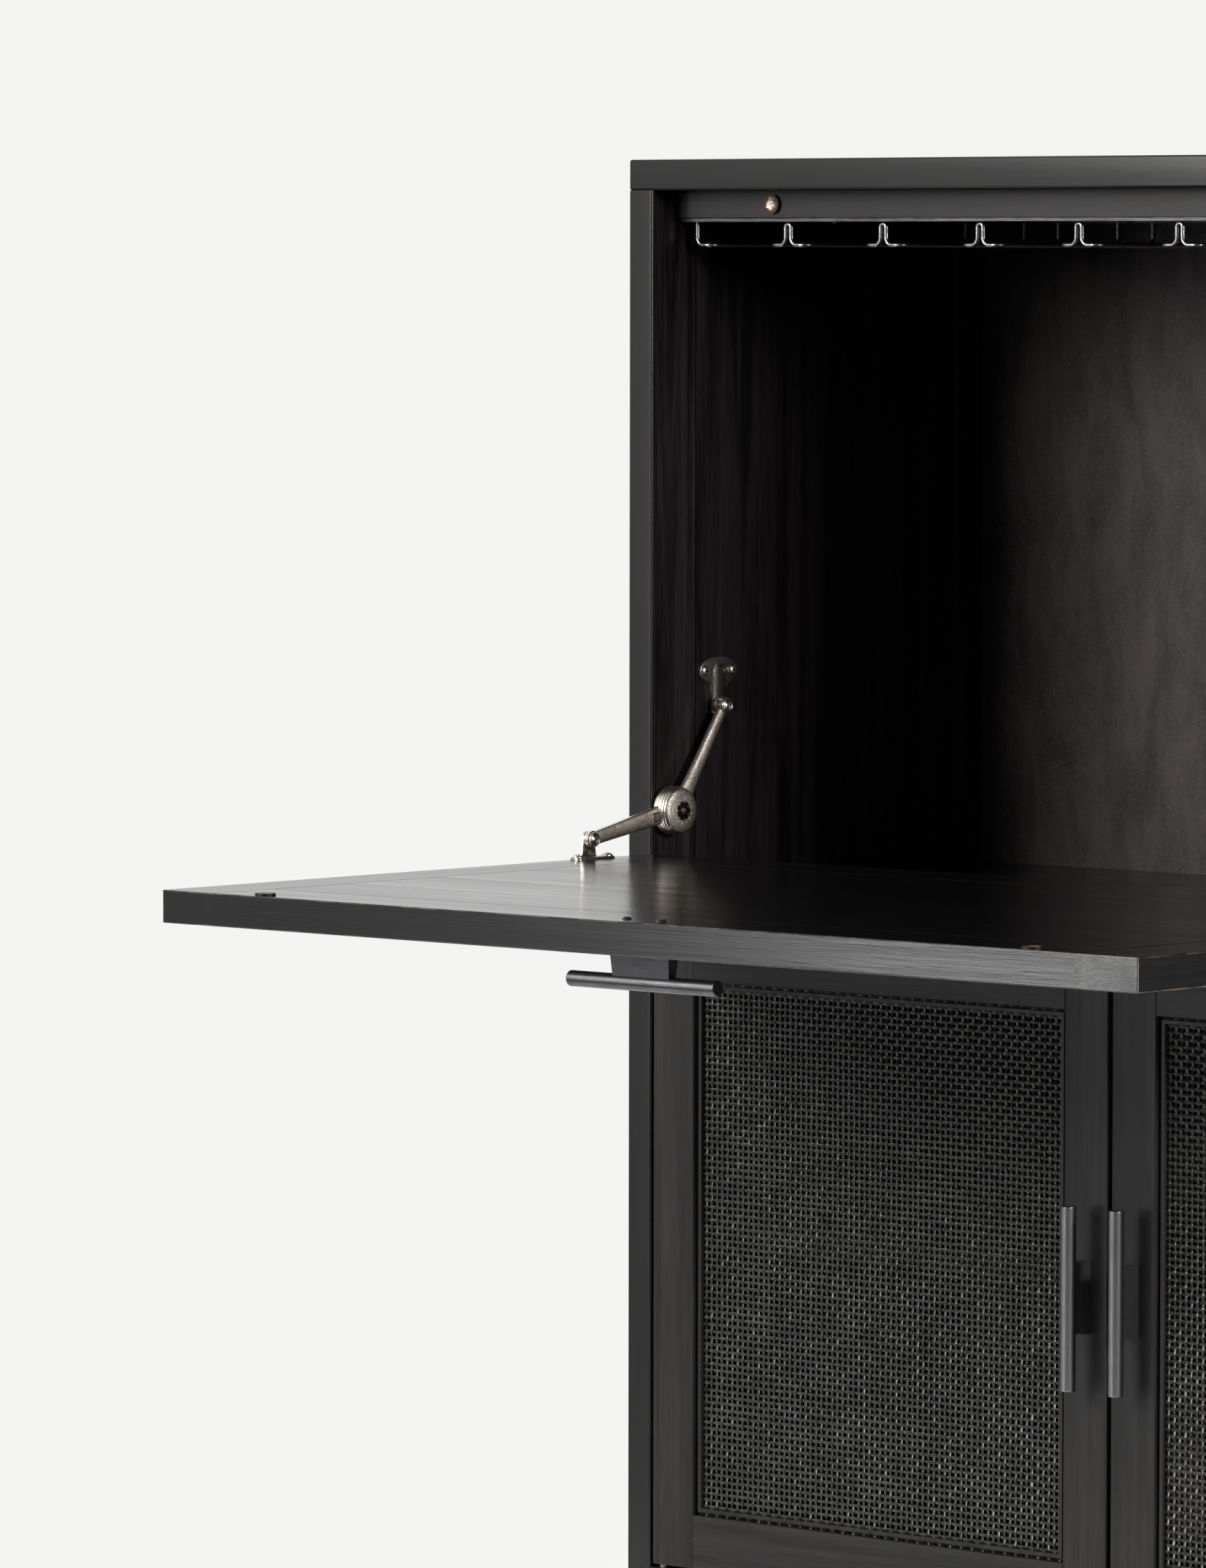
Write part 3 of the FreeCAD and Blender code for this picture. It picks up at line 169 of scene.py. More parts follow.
def ramp(tree, factor, stops):
    """A colour ramp through (place, grey or colour) stops."""
    made = node(tree, "ValToRGB", Fac=factor)
    band = made.color_ramp
    while len(band.elements) < len(stops):
        band.elements.new(0.5)
    for element, (place, colour) in zip(band.elements, stops):
        element.position = place
        element.color = (*colour, 1) if isinstance(colour, tuple) else (colour, colour, colour, 1)
    return made.outputs["Color"]


def mix_colour(tree, share, first, second):
    """The first colour where share is 0, and the second where it is 1."""
    return node(tree, "Mix", {"data_type": "RGBA"}, in0=share, in6=first, in7=second).outputs[2]


def new_finish(name):
    """An empty material and its node tree."""
    finish = bpy.data.materials.new(name)
    finish.use_nodes = True
    finish.node_tree.nodes.clear()
    return finish, finish.node_tree


def coat(tree, colour, gloss, bump, **more):
    """Ends a finish: one Principled shader, linked to the output."""
    shader = node(tree, "BsdfPrincipled", Base_Color=colour, Roughness=gloss, Normal=bump.outputs["Normal"], **more)
    node(tree, "OutputMaterial", Surface=shader.outputs["BSDF"])


print("short names for colours and finishes")

# %% [markdown]
# ## The studio
# The object stands before a white sweep and is lit by one large soft box from the front left. A world could give
# all of the light, but then the inside of the cabinet would not fall to black as in the photograph. So the world
# is bright only to the camera and in reflections: a white sweep behind the object, a grey left wall that is darker
# near the floor, and a dark studio elsewhere.

# %% World
WHITE_SWEEP = 0.904
LEFT_WALL = 0.67
DARK_STUDIO = 0.12
LOW_SHARE = 0.16
FILL = 0.06
SWEEP_SIDE = Vector((-0.67, 0.74, 0.0))
SWEEP_FADE, WALL_FADE, LOW_FADE = (0.35, 0.85), (0.1, -0.6), (-0.36, 0.10)
WARM_WHITE = (1, 0.997, 0.992, 1)

world = bpy.data.worlds.new("studio")
scene.world = world
world.use_nodes = True
sky = world.node_tree
sky.nodes.clear()
direction = node(sky, "TexCoord").outputs["Generated"]
sides = node(sky, "SeparateXYZ", Vector=direction).outputs
facing = vector(sky, "DOT_PRODUCT", direction, SWEEP_SIDE)
behind = remap(sky, facing, *SWEEP_FADE, high=WHITE_SWEEP - LEFT_WALL, soft=True)
left_wall = remap(sky, sides["X"], *WALL_FADE, DARK_STUDIO, LEFT_WALL, soft=True)
above = remap(sky, sides["Z"], *LOW_FADE, LOW_SHARE, soft=True)
mirrored = calc(sky, "ADD", behind, calc(sky, "MULTIPLY", left_wall, above))
path = node(sky, "LightPath").outputs
glossy = calc(sky, "MAXIMUM", path["Is Glossy Ray"], path["Is Transmission Ray"])
seen = node(sky, "Mix", Factor=glossy, A=FILL, B=mirrored).outputs["Result"]
seen = node(sky, "Mix", Factor=path["Is Camera Ray"], A=seen, B=WHITE_SWEEP).outputs["Result"]
backdrop = node(sky, "Background", Color=WARM_WHITE, Strength=seen)
node(sky, "OutputWorld", Surface=backdrop.outputs["Background"])
print("world made with", len(sky.nodes), "nodes")

# %% [markdown]
# The soft boxes are area lights. The key stands high at the front left, so that the leaf shades the tops of the
# doors, and a weak box below it gives the doors and the leaf's edge their sheen. A small box at the right reaches
# only the front of the inner left wall, and the edge box is for the right end of the leaf. The last one lights the
# back, and is kept out of reflections, where it would whiten black boards.

# %% Soft boxes


def soft_box(name, place, aim, width, height, power, tint=(1, 1, 1)):
    """A rectangular area light that points at aim."""
    lamp = bpy.data.lights.new(name, "AREA")
    lamp.shape = "RECTANGLE"
    lamp.size, lamp.size_y = width, height
    lamp.energy = power
    lamp.color = tint
    holder = bpy.data.objects.new(name, lamp)
    scene.collection.objects.link(holder)
    holder.location = place
    holder.rotation_euler = (Vector(aim) - Vector(place)).to_track_quat("-Z", "Y").to_euler()
    return holder


soft_box("key_box", (-1.35, -3.3, 2.28), (0.0, 0.1, 0.95), 1.6, 1.5, 126, (1, 0.985, 0.96))
soft_box("low_box", (-1.80, -3.3, 0.72), (0.3, -0.3, 0.80), 0.65, 0.5, 9.5)
right_box = soft_box("right_box", (3.4, -0.35, 1.80), (-0.4, 0.1, 1.05), 0.5, 0.55, 80)
edge_box = soft_box("edge_box", (2.0, -0.45, 0.55), (0.45, -0.2, 0.82), 0.5, 0.5, 34)
back_box = soft_box("back_box", (-1.6, 3.6, 2.0), (0.0, 0.4, 0.8), 2.2, 1.8, 60)
back_box.visible_glossy = False

# %% [markdown]
# The floor is a pale disc that keeps the shadow of the object and turns clear before the backdrop. A wide plane
# would fill half of the picture with grey from the low camera. To the camera it also glows a little, to join the
# white of the sweep.

# %% Floor
FLOOR_RADIUS = 2.3
FLOOR_DROP = 0.0005
FADE_FROM = 1.15
FADE_TO = FLOOR_RADIUS - 0.02
FLOOR_GLOW = 0.5

floor_mesh = bpy.data.meshes.new("floor")
floor_form = bmesh.new()
bmesh.ops.create_circle(floor_form, cap_ends=True, radius=FLOOR_RADIUS, segments=96)
floor_form.to_mesh(floor_mesh)
floor_form.free()
floor = bpy.data.objects.new("floor", floor_mesh)
scene.collection.objects.link(floor)
floor.location.z = cad_box[0].z - FLOOR_DROP

floor_paint, tree = new_finish("pale_floor")
spot = node(tree, "TexCoord").outputs["Object"]
fade = remap(tree, vector(tree, "LENGTH", spot), FADE_FROM, FADE_TO, soft=True)
path = node(tree, "LightPath").outputs
seen = calc(tree, "MAXIMUM", path["Is Camera Ray"], path["Is Glossy Ray"])
glow = calc(tree, "MULTIPLY", seen, FLOOR_GLOW)
matte = node(tree, "BsdfDiffuse", Color=(0.80, 0.79, 0.78, 1))
lift = node(tree, "Emission", Color=(1, 0.99, 0.98, 1), Strength=glow)
both = node(tree, "AddShader", in0=matte.outputs[0], in1=lift.outputs[0])
clear = node(tree, "BsdfTransparent")
surface = node(tree, "MixShader", in0=fade, in1=both.outputs[0], in2=clear.outputs[0])
node(tree, "OutputMaterial", Surface=surface.outputs[0])
floor_mesh.materials.append(floor_paint)
print("floor of radius", FLOOR_RADIUS)

# %% [markdown]
# ## Black-stained wood
# The case, the leaf and the door frames are a fine-grained wood, stained black under a thin satin lacquer. The
# grain shows as faint streaks, and the pores as tiny dark lines that break the gloss. A picture of wood could be
# wrapped on, but noise that is stretched along the board needs no seams and runs the right way on each board.
# Each board takes its noise from another place.

# %% Grain
BAND_SHARE, PORE_SHARE, CLOUD_SHARE = 0.62, 0.28, 0.10
PORE_SCALE = 620
CLOUD_SCALE = 7
BOARD_SHIFT = 7.0


def wood_grain(tree, place, grain, stretch, streak_scale):
    """The board's own place in the noise, and the streaks along its grain."""
    own = node(tree, "ObjectInfo").outputs["Random"]
    moved = vector(tree, "ADD", place, calc(tree, "MULTIPLY", own, BOARD_SHIFT))
    squeeze = [stretch if axis == grain else 1 for axis in "xyz"]
    along = node(tree, "Mapping", Vector=moved, Scale=squeeze).outputs["Vector"]
    bands = noise(tree, along, streak_scale, 5, 0.6, 0.6)
    pores = noise(tree, along, PORE_SCALE, 3, 0.65)
    clouds = noise(tree, moved, CLOUD_SCALE, 3)
    return moved, weighted(tree, (bands, BAND_SHARE), (pores, PORE_SHARE), (clouds, CLOUD_SHARE))


print("shares of bands, pores and clouds:", BAND_SHARE, PORE_SHARE, CLOUD_SHARE)

# %% [markdown]
# Along the arrises the stain has rubbed off in patches. The Bevel node finds an arris: it bends the normal only
# near an edge. The leaf's arrises are round in the mesh, where the bent normal is the true one, so there an arris
# is where a point is close to two faces of the leaf's box at once. There the pale bare colour is partly real wear
# and partly a painted highlight, the warm light line along the leaf's edge.

# %% Worn arrises
ARRIS_REACH = 0.0022
ROUND_WEAR_AND_SHEEN_REACH = 0.0011
WEAR_SCALE = 38
WEAR_FADE = 0.18


def near_outline(tree, spot, low, high, reach):
    """1 at the arrises of a box: within reach of its faces in two directions at once."""
    off = vector(tree, "ABSOLUTE", vector(tree, "SUBTRACT", spot, (low + high) / 2))
    off = vector(tree, "ABSOLUTE", vector(tree, "SUBTRACT", off, (high - low) / 2))
    count = 0.0
    for part in node(tree, "SeparateXYZ", Vector=off).outputs:
        count = calc(tree, "ADD", calc(tree, "LESS_THAN", part, reach), count)
    return calc(tree, "GREATER_THAN", count, 1.5)


def rubbed(tree, board, moved, wear, worn_from, outline):
    """How far the stain has rubbed off the arrises; on the round outline, partly a painted highlight."""
    flat = node(tree, "NewGeometry").outputs["Normal"]
    bent = node(tree, "Bevel", {"samples": 4}, Radius=ARRIS_REACH).outputs["Normal"]
    arris = remap(tree, vector(tree, "DOT_PRODUCT", bent, flat), 0.995, 0.80)
    if outline:
        level = node(tree, "SeparateXYZ", Vector=board["Normal"]).outputs["Z"]
        arris = calc(tree, "MULTIPLY", arris, calc(tree, "ABSOLUTE", level))
        # partly a painted highlight: the leaf's round arrises take the pale bare colour as a light line
        round_arris_wear_and_sheen = near_outline(tree, board["Object"], *outline, ROUND_WEAR_AND_SHEEN_REACH)
        arris = calc(tree, "MAXIMUM", arris, round_arris_wear_and_sheen)
    patch = remap(tree, noise(tree, moved, WEAR_SCALE, 6, 0.7), worn_from, worn_from + WEAR_FADE, high=wear)
    return calc(tree, "MULTIPLY", arris, patch, clamp=True)


print("wear reaches", ARRIS_REACH * 1000, "mm from a sharp arris")

# %% [markdown]
# The stain goes from a dark to a light tone over the streaks. Faces that look into the case can have a thinner,
# browner stain, and a dull board pale flecks of dust. The streaks also change the gloss and give a shallow bump.

# %% A wood finish
MIDDLE_STREAK = 0.51
INNER_DARK = 0.06
DUST_SCALE = 900


def wood_finish(name, grain, dark, light, worn, rough, wear=0.5, pore_depth=0.00012, speckle=0.0, spread=0.10,
                shine=0.5, stretch=0.035, streak_scale=55, inner=None, worn_from=0.48, outline=None):
    """Stained wood with its grain along one axis. Dark and light are the streaks, worn is the bare arris."""
    finish, tree = new_finish(f"{name}_{grain}")
    board = node(tree, "TexCoord").outputs
    moved, streak = wood_grain(tree, board["Object"], grain, stretch, streak_scale)
    low, high = MIDDLE_STREAK - spread, MIDDLE_STREAK + spread
    stain = ramp(tree, streak, [(low, dark), (high, light)])
    if inner:
        flat = node(tree, "NewGeometry").outputs["Normal"]
        facing = vector(tree, "MULTIPLY", flat, board["Object"])
        inward = remap(tree, node(tree, "SeparateXYZ", Vector=facing).outputs["X"], -0.10, -0.35)
        thin = ramp(tree, streak, [(low, tuple(INNER_DARK * v for v in inner)), (high, inner)])
        stain = mix_colour(tree, inward, stain, thin)
    if speckle:
        flecks = ramp(tree, noise(tree, moved, DUST_SCALE, 2), [(0.60, 0.0), (0.74, speckle)])
        stain = mix_colour(tree, flecks, stain, (*worn, 1))
    colour = mix_colour(tree, rubbed(tree, board, moved, wear, worn_from, outline), stain, (*worn, 1))
    gloss = remap(tree, streak, 0.3, 0.7, rough + 0.07, rough - 0.05)
    lacquer = node(tree, "Bump", Strength=0.55, Distance=pore_depth, Height=streak)
    coat(tree, colour, gloss, lacquer, Specular_IOR_Level=shine)
    return finish


print("flecks of dust come from noise at scale", DUST_SCALE)

# %% [markdown]
# The boards differ in the photograph. The door frames are greyer and duller than the posts, the leaf is the
# glossiest and the most worn, the inside is a dull brown black, and the back is a paler, dusty board. The shelf in
# the cupboard is painted near black, as painted shade, so that it stays dark behind the cane. One row of the table
# makes each of them, for as many directions of the grain as it needs.

# %% The wood finishes of this cabinet
LEAF_STILES = ["leaf_left_stile", "leaf_right_stile"]
LEAF_FRAME = LEAF_STILES + ["leaf_rear_rail", "leaf_front_rail"]
BROWN = (0.060, 0.034, 0.022)
BARE_AND_SHEEN = (0.150, 0.105, 0.070)
DUSTY = (0.032, 0.024, 0.025)
BLACK = ((0.0070, 0.0067, 0.0067), (0.0165, 0.0158, 0.0158))
DULL = {"spread": 0.085, "shine": 0.2, "stretch": 0.05, "streak_scale": 50, "speckle": 0.35}


def whole_box(names):
    """The low and the high corner of the box round several pieces."""
    boxes = [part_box(name) for name in names]
    return (Vector([min(box[0][k] for box in boxes) for k in range(3)]),
            Vector([max(box[1][k] for box in boxes) for k in range(3)]))


# name, axes of the grain, dark, light, worn, roughness, and what differs from the usual finish
WOODS = [
    ("black_wood", "x", *BLACK, BROWN, 0.25, {}),
    ("door_wood", "xz", (0.0155, 0.0149, 0.0149), (0.0385, 0.0371, 0.0371), BROWN, 0.32, {"shine": 0.25}),
    ("post_wood", "z", *BLACK, BROWN, 0.25, {"inner": (0.036, 0.027, 0.029)}),
    # the leaf's pale bare colour is partly wear and partly a painted highlight on its round arrises
    ("leaf_wood", "xy", (0.0055, 0.0053, 0.0053), (0.0150, 0.0143, 0.0143), BARE_AND_SHEEN, 0.18,
     {"wear": 0.7, "pore_depth": 0.0005, "worn_from": 0.43, "outline": whole_box(LEAF_FRAME)}),
    ("inside_wood", "x", (0.0014, 0.0011, 0.0012), (0.0225, 0.0172, 0.0188), DUSTY, 0.50, DULL),
    ("side_wood", "z", (0.0070, 0.0066, 0.0066), (0.0180, 0.0168, 0.0170), DUSTY, 0.50,
     {**DULL, "inner": (0.0225, 0.0172, 0.0188)}),
    # painted shade: the cupboard shelf is near black so that it stays dark behind the holes of the cane
    ("cupboard_wood", "x", (0.0012, 0.0010, 0.0010), (0.0046, 0.0036, 0.0038), BROWN, 0.60,
     {"wear": 0.1, "shine": 0.08}),
    ("rail_wood", "x", (0.0040, 0.0031, 0.0034), (0.0170, 0.0136, 0.0146), (0.075, 0.058, 0.053), 0.38,
     {"speckle": 0.6, "shine": 0.33}),
    ("back_board", "z", (0.025, 0.0210, 0.0207), (0.068, 0.0575, 0.0567), (0.145, 0.126, 0.120), 0.55,
     {"wear": 0.0, "speckle": 0.7, "spread": 0.13, "shine": 0.3, "stretch": 0.30, "streak_scale": 34}),
]
finishes = {}
for name, axes, *values, more in WOODS:
    for axis in axes:
        finishes[f"{name}_{axis}"] = wood_finish(name, axis, *values, **more)
print("wood finishes:", list(finishes))

# %% [markdown]
# ## Boards with eased arrises
# No joiner leaves an arris sharp: a stroke of fine paper takes it down by half a millimetre, and that narrow
# facet is what catches the light. CAD meshes may not be edited, but modifiers may sit on top: the first joins the
# corners and drops the stored normals, the second melts flat triangles together, the third marks arrises, and the
# fourth rounds them.

# %% Join the corners of a CAD mesh
WELD = 0.00001


def geometry_group(name):
    """A group of geometry nodes, and the socket of its geometry."""
    group = bpy.data.node_groups.new(name, "GeometryNodeTree")
    for way in ("INPUT", "OUTPUT"):
        group.interface.new_socket("Geometry", in_out=way, socket_type="NodeSocketGeometry")
    return group, node(group, "NodeGroupInput").outputs[0]


joined, raw = geometry_group("joined_corners")
weld = node(joined, "GeometryNodeMergeByDistance", Geometry=raw, Distance=WELD)
plain = node(joined, "GeometryNodeSetMeshNormal", Mesh=weld.outputs[0])
node(joined, "NodeGroupOutput", in0=plain.outputs[0])
print("corners are joined with", [step.bl_idname for step in joined.nodes])

# %% [markdown]
# Only the arrises on the outside of a board, or of a whole frame, are rounded. In a frame the boards meet flush,
# and a rounded edge at a joint would open a groove. Holes, tongues and tenons stay crisp as well.

# %% Mark the outer arrises
SHARP_TURN = math.radians(50)
AT_OUTLINE = 0.0002


def outer_arrises(name, low, high):
    """Nodes that mark the sharp edges on the outside of a box, and keep the others crisp."""
    marks, raw = geometry_group(f"{name}_arrises")
    spot = node(marks, "GeometryNodeInputPosition").outputs[0]
    outside = near_outline(marks, spot, low, high, AT_OUTLINE)
    turn = node(marks, "GeometryNodeInputMeshEdgeAngle").outputs["Unsigned Angle"]
    sharp = calc(marks, "GREATER_THAN", turn, SHARP_TURN)
    crisp = node(marks, "GeometryNodeSetShadeSmooth", {"domain": "EDGE"}, Geometry=raw,
                 Selection=calc(marks, "GREATER_THAN", sharp, outside), Shade_Smooth=False)
    weights = node(marks, "GeometryNodeStoreNamedAttribute", {"data_type": "FLOAT", "domain": "EDGE"},
                   Geometry=crisp.outputs[0], Name="bevel_weight_edge",
                   Value=calc(marks, "MULTIPLY", sharp, outside))
    node(marks, "NodeGroupOutput", in0=weights.outputs[0])
    return marks


print("an edge counts as sharp from", round(math.degrees(SHARP_TURN)), "degrees")

# %% Ease one board
FLAT_TURN = math.radians(0.5)


def ease(board, marks, radius=0.0005, steps=2):
    """Rounds the marked arrises of a CAD board by a small radius."""
    corners = board.modifiers.new("joined_corners", "NODES")
    corners.node_group = joined
    melt = board.modifiers.new("flat_faces", "DECIMATE")
    melt.decimate_type = "DISSOLVE"
    melt.angle_limit = FLAT_TURN
    outside = board.modifiers.new("outer_arrises", "NODES")
    outside.node_group = marks
    rounded = board.modifiers.new("eased_arris", "BEVEL")
    rounded.width = radius
    rounded.segments = steps
    rounded.limit_method = "WEIGHT"
    rounded.use_clamp_overlap = False
    rounded.harden_normals = True


print("faces within", round(math.degrees(FLAT_TURN), 1), "degrees are melted together")

# %% [markdown]
# Each board takes the finish of its place, with the grain along its length: upright in the posts, door stiles
# and sides, front to back in the leaf's stiles, and sideways in the rails, the top, the deck and the leaf.

# %% Dress the boards
POSTS = [f"{side}_{end}_post" for side in ("left", "right") for end in ("front", "rear")]
SIDES = ["left_side_panel", "right_side_panel"]
DOORS = ("left_door", "right_door")
LEAF_BOARDS = ["leaf_rear_rail", "leaf_front_rail", "leaf_panel"]


def of_doors(*parts):
    """The names of these parts in both doors."""
    return [f"{door}_{part}" for door in DOORS for part in parts]


def dress(names, finish):
    """Gives CAD nodes a finish."""
    for name in names:
        mesh = nodes[name].data
        mesh.materials.clear()
        mesh.materials.append(finishes[finish])


dress(POSTS, "post_wood_z")
dress(of_doors("hinge_stile", "lock_stile", "beads"), "door_wood_z")
dress(of_doors("top_rail", "bottom_rail"), "door_wood_x")
dress(["top_panel"], "black_wood_x")
dress(LEAF_BOARDS + ["deck"], "leaf_wood_x")
dress(LEAF_STILES, "leaf_wood_y")
dress(SIDES, "side_wood_z")
dress(["bottom_panel", "rack_cleat"], "inside_wood_x")
# The shelf takes the near-black finish, a painted shade for the closed cupboard behind the cane.
dress(["cupboard_shelf"], "cupboard_wood_x")
dress(["upper_front_rail"], "rail_wood_x")
dress(["back_panel"], "back_board_z")
print("dressed the case, the leaf and", len(DOORS), "doors in wood")

# %% [markdown]
# The boards of the case are eased one by one, and the leaf and the doors as whole frames. On a frame the radius
# stays under that of the arrises that CAD has rounded already, so that no face folds over at a corner.

# %% Ease the boards
CASE_BOARDS = POSTS + SIDES + ["top_panel", "deck", "bottom_panel", "cupboard_shelf", "rack_cleat",
                               "upper_front_rail"]
FRAMES = {"leaf": (0.0009, LEAF_FRAME)}
for door in DOORS:
    FRAMES[door] = 0.0008, [f"{door}_{part}" for part in ("hinge_stile", "lock_stile", "top_rail", "bottom_rail")]

for name in CASE_BOARDS + ["leaf_panel"]:
    ease(nodes[name], outer_arrises(name, *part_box(name)))
for frame_name, (radius, boards) in FRAMES.items():
    low, high = whole_box(boards)
    marks = outer_arrises(frame_name, low, high)
    for name in boards:
        ease(nodes[name], marks, radius, steps=3)
    print("eased the outside of", frame_name, [round(v, 3) for v in high - low])

# %% [markdown]
# A photographer keeps light off a surface with flags, black boards on stands. In Blender a lamp can be linked to
# the pieces that it lights or leaves out. The right box leaves out the leaf and the top, where it would glare in
# side views, and the edge box lights one stile of the leaf.

# %% Flags for two soft boxes


def flag(light, names, state):
    """Lets a light reach only these pieces (INCLUDE) or all others (EXCLUDE)."""
    group = bpy.data.collections.new(f"{light.name}_boards")
    for name in names:
        group.objects.link(nodes[name])
    for entry in group.collection_objects:
        entry.light_linking.link_state = state
    light.light_linking.receiver_collection = group
    print(light.name, state, names)


flag(right_box, LEAF_STILES + LEAF_BOARDS + ["top_panel"], "EXCLUDE")
flag(edge_box, ["leaf_right_stile"], "INCLUDE")

# %% [markdown]
# ## Woven cane
# The door panels are black cane in a plain weave: flat strands about 2.4 mm wide, a little more than that apart,
# each going over one and under the next. A picture or a bump would look flat at this distance, because the
# strands cast shadows into the holes and catch glints where they rise. So each strand is a ribbon of its own,
# with a crown across it. Its points also keep the wave and the direction of the strand, for the finish to read.

# %% One ribbon
STRAND_CROWN = 0.00020
STRAND_TWIST = 0.045


def ribbon(form, points, waves, across, out, width, draw):
    """A thin ribbon through points, crowned on both faces. It twists a little."""
    rows = []
    wave_layer = form.verts.layers.float["wave"]
    level_layer = form.verts.layers.float["level"]
    twist = draw.gauss(0, STRAND_TWIST)
    for point, wave in zip(points, waves):
        twist = 0.5 * twist + draw.gauss(0, STRAND_TWIST)
        half = (across * math.cos(twist) + out * math.sin(twist)) * (width / 2)
        rows.append([form.verts.new(point - half), form.verts.new(point + out * STRAND_CROWN),
                     form.verts.new(point + half), form.verts.new(point - out * STRAND_CROWN)])
        for vert in rows[-1]:
            vert[wave_layer] = wave
            vert[level_layer] = abs(across.z)
    for first, second in zip(rows, rows[1:]):
        for k in range(4):
            face = form.faces.new((first[k], first[(k + 1) % 4], second[(k + 1) % 4], second[k]))
            face.smooth = k < 2
        for k in (0, 2):
            form.edges.get((first[k], second[k])).smooth = False
    form.faces.new(rows[0][::-1])
    form.faces.new(rows[-1])


print("a ribbon is", 2 * STRAND_CROWN * 1000, "mm thick")

# %% [markdown]
# Two rows of points to each crossing are enough for the wave, and keep a sheet under two hundred thousand
# triangles. No weaver gets every strand even, so the wave, the width and the line vary by chance, with a seed.

# %% One strand
STRAND_WIDTH = 0.0024
STRAND_LIFT = 0.00055
STRAND_WANDER = 0.00005
WAVE_RANGE, WIDTH_RANGE = (0.75, 1.05), (0.90, 1.10)
SAMPLES_PER_CROSSING = 2


def strand(form, upright, own, line, number, middle, out, draw):
    """One strand over a line of crossings. Own is its place among its neighbours, and number its turn."""
    start, pitch, crossings, low, high = line
    across = Vector((1, 0, 0)) if upright else Vector((0, 0, -1))
    side = 1 if upright else -1
    points, waves = [], []
    for s in range(-1, crossings * SAMPLES_PER_CROSSING + 1):
        t = s / SAMPLES_PER_CROSSING
        along = min(max(start + t * pitch, low), high)
        waves.append(side * math.cos(math.pi * (t + number)) * draw.uniform(*WAVE_RANGE))
        aside = own + draw.gauss(0, STRAND_WANDER)
        spot = Vector((aside, middle, along) if upright else (along, middle, aside))
        points.append(spot + out * STRAND_LIFT * waves[-1])
    ribbon(form, points, waves, across, out, STRAND_WIDTH * draw.uniform(*WIDTH_RANGE), draw)


print("strands are", STRAND_WIDTH * 1000, "mm wide")

# %% One sheet
STRAND_PITCH_X = 0.00565
STRAND_PITCH_Z = 0.00535
PITCH_ERROR = 0.00013


def weave(form, low, high, out, draw):
    """Upright and level strands over the box from low to high."""
    for layer in ("wave", "level"):
        form.verts.layers.float.new(layer)
    middle = (low.y + high.y) / 2
    columns = int((high.x - low.x) / STRAND_PITCH_X)
    rows = int((high.z - low.z) / STRAND_PITCH_Z)
    start_x = (low.x + high.x - (columns - 1) * STRAND_PITCH_X) / 2
    start_z = (low.z + high.z - (rows - 1) * STRAND_PITCH_Z) / 2
    xs = [start_x + i * STRAND_PITCH_X + draw.gauss(0, PITCH_ERROR) for i in range(columns)]
    zs = [start_z + j * STRAND_PITCH_Z + draw.gauss(0, PITCH_ERROR) for j in range(rows)]
    upward = start_z, STRAND_PITCH_Z, rows, low.z, high.z
    sideways = start_x, STRAND_PITCH_X, columns, low.x, high.x
    for upright, places, line in ((True, xs, upward), (False, zs, sideways)):
        for number, own in enumerate(places):
            strand(form, upright, own, line, number, middle, out, draw)
    return columns, rows


print("strands are", [round(pitch * 1000, 2) for pitch in (STRAND_PITCH_X, STRAND_PITCH_Z)], "mm apart")

# %% [markdown]
# The black on the cane is thin and glossy, and has worn to grey in flecks. The level strands are painted paler as
# well: a painted sheen that stands in for the glints they catch. Tone and gloss come from noise that is stretched
# neither way, because all strands share the material. A strand bends in straight pieces, two to a crossing, so a
# bump from the stored wave rounds its crests.

# %% Cane finish
FIBRE_SHARE = 0.7
LEVEL_PAINTED_SHEEN = 0.17
CANE_TONES = [(0.35, (0.0088, 0.0088, 0.0090)), (0.62, (0.0265, 0.0263, 0.0261)), (0.75, (0.074, 0.073, 0.071))]

cane_finish, tree = new_finish("black_cane")
place = node(tree, "TexCoord").outputs["Object"]
fibre = noise(tree, place, 420, 4, 0.7)
broad = noise(tree, place, 28, 3)
level = node(tree, "Attribute", {"attribute_name": "level"}).outputs["Fac"]
# The level strands are painted paler here: a painted sheen in place of their glints.
tone = weighted(tree, (fibre, FIBRE_SHARE), (broad, 1 - FIBRE_SHARE), (level, LEVEL_PAINTED_SHEEN))
colour = ramp(tree, tone, CANE_TONES)
gloss = remap(tree, fibre, 0.3, 0.7, 0.28, 0.13)
wave = node(tree, "Attribute", {"attribute_name": "wave"}).outputs["Fac"]
round_crown = node(tree, "Bump", Strength=1.0, Distance=0.00060, Height=wave)
skin = node(tree, "Bump", Strength=0.3, Distance=0.0004, Height=fibre,
            Normal=round_crown.outputs["Normal"])
coat(tree, colour, gloss, skin, Specular_IOR_Level=0.36)
print("cane finish has", len(tree.nodes), "nodes")

# %% [markdown]
# A woven sheet takes the place of the plain CAD sheet in each door and swings with it. Each door has its own seed.

# %% Put a woven sheet in each door
OUTWARD = Vector((0, -1, 0))


def new_piece(name, form, finish, body, slot, *stands_for):
    """Makes a piece from a form, with a finish, that rides on a body."""
    mesh = bpy.data.meshes.new(name)
    form.to_mesh(mesh)
    form.free()
    mesh.materials.append(finish)
    piece = bpy.data.objects.new(name, mesh)
    scene.collection.objects.link(piece)
    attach(piece, body)
    if stands_for:
        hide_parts(*stands_for)
    return piece


